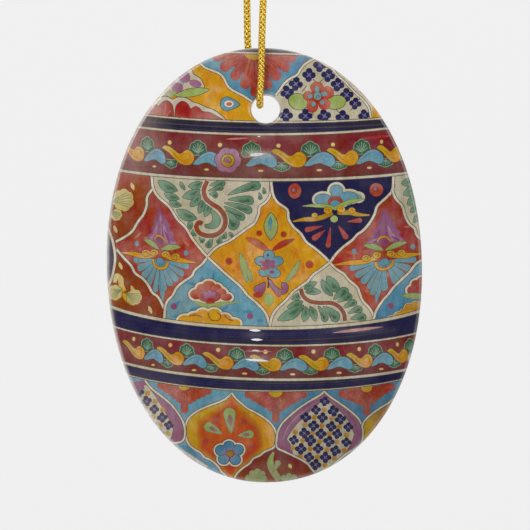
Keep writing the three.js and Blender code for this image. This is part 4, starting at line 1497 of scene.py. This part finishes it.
GLAZE_IOR = 1.5
GLAZE_COAT = 0.12
GLAZE_COAT_ROUGHNESS = 0.12
GLAZE_ROUGHNESS = (0.24, 0.36)
GLAZE_WAVE = 0.00004
PORCELAIN_WHITE = (0.84, 0.825, 0.79, 1)
# GOLD_SHADE is the painted shade at the sides of the cord's yarns and in the gaps between them.
GOLD_SHADE = (0.16, 0.09, 0.008, 1)
GOLD_LIGHT = (1.0, 0.68, 0.1, 1)
GOLD_METAL = 0.9
GOLD_ROUGHNESS = (0.28, 0.5)
FIBRE_HEIGHT = 0.00003


def glazed(nodes):
    """What all the plate's surfaces share: a smooth clear glaze that is a little wavy."""
    nodes.shader.inputs["IOR"].default_value = GLAZE_IOR
    nodes.shader.inputs["Coat Weight"].default_value = GLAZE_COAT
    nodes.shader.inputs["Coat Roughness"].default_value = GLAZE_COAT_ROUGHNESS
    nodes.bump(nodes.noise(scale=260, detail=2.0), strength=0.12, distance=GLAZE_WAVE)
    nodes.link(nodes.ranged(nodes.noise(scale=420), *GLAZE_ROUGHNESS), nodes.shader.inputs["Roughness"])


def print_material():
    """Fired colours under the glaze: washes that differ in depth, hue and tone, brush marks and grain."""
    nodes = Nodes("printed_glaze")
    paint = nodes.new("ShaderNodeAttribute", attribute_name="paint")
    washes = nodes.noise(scale=300, detail=4.0, rough=0.6)
    depth = nodes.new("ShaderNodeHueSaturation")
    nodes.link(paint.outputs["Color"], depth.inputs["Color"])
    nodes.link(nodes.ranged(washes, 0.84, 1.26), depth.inputs["Saturation"])
    hues = nodes.noise(scale=410, detail=3.0, rough=0.6, stretch=(1.0, 1.0, 0.6))
    nodes.link(nodes.ranged(hues, 0.487, 0.513), depth.inputs["Hue"])
    marks = nodes.noise(scale=1500, detail=3.0, rough=0.6, stretch=(1.0, 1.0, 0.35))
    brush = nodes.ranged(marks, 0.87, 1.13)
    grain = nodes.ranged(nodes.noise(scale=4600, detail=2.0), 0.92, 1.08)
    tone = nodes.times(nodes.times(nodes.ranged(washes, 1.12, 0.86), brush), grain)
    nodes.link(nodes.scaled(depth.outputs["Color"], tone), nodes.shader.inputs["Base Color"])
    glazed(nodes)
    return nodes.material


def porcelain_material():
    """White glazed porcelain, uneven by a few parts in a hundred."""
    nodes = Nodes("white_porcelain")
    white = nodes.new("ShaderNodeRGB")
    white.outputs["Color"].default_value = PORCELAIN_WHITE
    tone = nodes.ranged(nodes.noise(scale=180, detail=3.0), 0.96, 1.03)
    nodes.link(nodes.scaled(white.outputs["Color"], tone), nodes.shader.inputs["Base Color"])
    glazed(nodes)
    return nodes.material


def gold_material():
    """Metallic thread: painted shade makes it bright where a yarn stands out and dark brown between yarns,
    and fine noise darkens it between fibres.
    """
    nodes = Nodes("gold_thread")
    gold = nodes.new("ShaderNodeValToRGB")
    stops = gold.color_ramp.elements
    stops[0].color = GOLD_SHADE
    stops[1].color = GOLD_LIGHT
    # The "paint" attribute here carries painted shade: how far out each corner stands on its yarn.
    height = nodes.new("ShaderNodeAttribute", attribute_name="paint")
    fibres = nodes.ranged(nodes.noise(scale=3200, detail=3.0, rough=0.6), 0.5, 1.15, 0.3, 0.62)
    nodes.link(nodes.times(fibres, height.outputs["Fac"]), gold.inputs["Fac"])
    nodes.link(gold.outputs["Color"], nodes.shader.inputs["Base Color"])
    nodes.shader.inputs["Metallic"].default_value = GOLD_METAL
    nodes.link(nodes.ranged(nodes.noise(scale=3000), *GOLD_ROUGHNESS), nodes.shader.inputs["Roughness"])
    nodes.bump(nodes.noise(scale=9000, detail=2.0), strength=0.35, distance=FIBRE_HEIGHT)
    return nodes.material


# ---------------------------------------------------------------- camera, stage and lights
# These are in metres and watts.

LIGHTS = (
    ("key", (-0.9, -1.1, 0.75), 0.9, 15),
    ("fill", (1.1, -1.0, 0.3), 1.1, 8.6),
    ("top", (0.1, 0.1, 1.2), 1.0, 5),
    ("back", (0.9, 1.0, 0.5), 0.8, 3.5),
)
WORLD_LIGHT = 0.12
FLOOR_DROP = 0.34  # from the plate's middle down to the floor
STAGE_NEAR = -1.6
STAGE_FAR = 0.85
STAGE_HALF_WIDTH = 2.2
STAGE_HEIGHT = 1.9
STAGE_BEND = 0.3
STAGE_BEND_STEPS = 12
PAPER_COLOUR = (0.12, 0.12, 0.12, 1)
PAPER_ROUGHNESS = 0.9
PAPER_GLOW = 0.752


def add_camera():
    """The photograph's view: straight on, and far enough off for little perspective."""
    data = bpy.data.cameras.new("camera")
    data.lens = LENS
    data.sensor_width = SENSOR_WIDTH
    made = bpy.data.objects.new("camera", data)
    bpy.context.scene.collection.objects.link(made)
    distance = VIEW_WIDTH * LENS / SENSOR_WIDTH
    target = PLATE_MIDDLE + (VIEW_OFFSET[0], -THICKNESS / 2, VIEW_OFFSET[1])
    made.location = Vector((target - (0, distance, 0)) * MM)
    made.rotation_euler = (math.pi / 2, 0, 0)
    bpy.context.scene.camera = made


def add_light(name, place, size, power):
    """A round soft light aimed at the plate."""
    data = bpy.data.lights.new(name, "AREA")
    data.shape = "DISK"
    data.size = size
    data.energy = power
    made = bpy.data.objects.new(name, data)
    made.location = place
    aim = Vector(PLATE_MIDDLE * MM) - Vector(place)
    made.rotation_euler = aim.to_track_quat("-Z", "Y").to_euler()
    bpy.context.scene.collection.objects.link(made)


def backdrop_material():
    """Pale paper that glows a little, so that it stays even behind the object."""
    nodes = Nodes("backdrop_paper")
    paper = nodes.new("ShaderNodeRGB")
    paper.outputs["Color"].default_value = PAPER_COLOUR
    tone = nodes.ranged(nodes.noise(scale=12), 0.995, 1.005)
    nodes.link(nodes.scaled(paper.outputs["Color"], tone), nodes.shader.inputs["Base Color"])
    nodes.shader.inputs["Roughness"].default_value = PAPER_ROUGHNESS
    nodes.shader.inputs["Emission Color"].default_value = (1, 1, 1, 1)
    nodes.shader.inputs["Emission Strength"].default_value = PAPER_GLOW
    return nodes.material


def add_stage():
    """A pale floor that sweeps up into a backdrop."""
    foot = PLATE_MIDDLE[2] * MM - FLOOR_DROP
    bend_start = STAGE_FAR - STAGE_BEND
    profile = [(STAGE_NEAR, foot), (bend_start, foot)]
    for k in range(1, STAGE_BEND_STEPS):
        turn = math.pi / 2 * k / STAGE_BEND_STEPS
        rise = STAGE_BEND - STAGE_BEND * math.cos(turn)
        profile.append((bend_start + STAGE_BEND * math.sin(turn), foot + rise))
    profile += [(STAGE_FAR, foot + STAGE_BEND), (STAGE_FAR, foot + STAGE_HEIGHT)]
    points = [(side * STAGE_HALF_WIDTH / MM, y / MM, z / MM) for y, z in profile for side in (-1, 1)]
    faces = [[2 * i, 2 * i + 1, 2 * i + 3, 2 * i + 2] for i in range(len(profile) - 1)]
    sweep = mesh_object("backdrop", points, faces)
    sweep.data.materials.append(backdrop_material())


def add_world():
    """Even white light from all round."""
    world = bpy.data.worlds.new("studio")
    world.use_nodes = True
    background = world.node_tree.nodes["Background"]
    background.inputs["Color"].default_value = (1, 1, 1, 1)
    background.inputs["Strength"].default_value = WORLD_LIGHT
    bpy.context.scene.world = world
    bpy.context.scene.view_settings.view_transform = "Standard"


# ---------------------------------------------------------------- making it all


def gold_piece(name, route, body, node=None):
    """A braid on a body, which stands for a node if one is given. Returns it and its centreline."""
    made, line = braid(name, route)
    made.data.materials.append(gold_thread)
    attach(made, body)
    if node:
        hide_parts(node)
    return made, line


random.seed(SEED)
add_camera()
add_world()
add_stage()
for light in LIGHTS:
    add_light(*light)

gold_thread = gold_material()
loop, loop_line = gold_piece("braided_cord", cord_route(), "cord", "cord_loop")
knot_a, _ = gold_piece("knot_strand_left", knot_route(-1), "knot", "cord_knot")
knot_b, _ = gold_piece("knot_strand_right", knot_route(1), "knot")
tail_a, _ = gold_piece("tail_left", [(-TAIL_START[0], 0, TAIL_START[1]), *TAIL_LEFT], "knot",
                       "cord_tail_left")
tail_b, _ = gold_piece("tail_right", [(TAIL_START[0], 0, TAIL_START[1]), *TAIL_RIGHT], "knot",
                       "cord_tail_right")

pot = Picture()
neck(pot)
lattice(pot)
skirt(pot)
upper_band(pot)
lower_band(pot)
navy_bands(pot)

body = porcelain_body()
body.data.materials.append(porcelain_material())
front_print = painted_face(pot, "printed_front")
front_print.data.materials.append(print_material())
for piece in (body, front_print):
    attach(piece, "ornament")
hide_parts("ornament_plate")
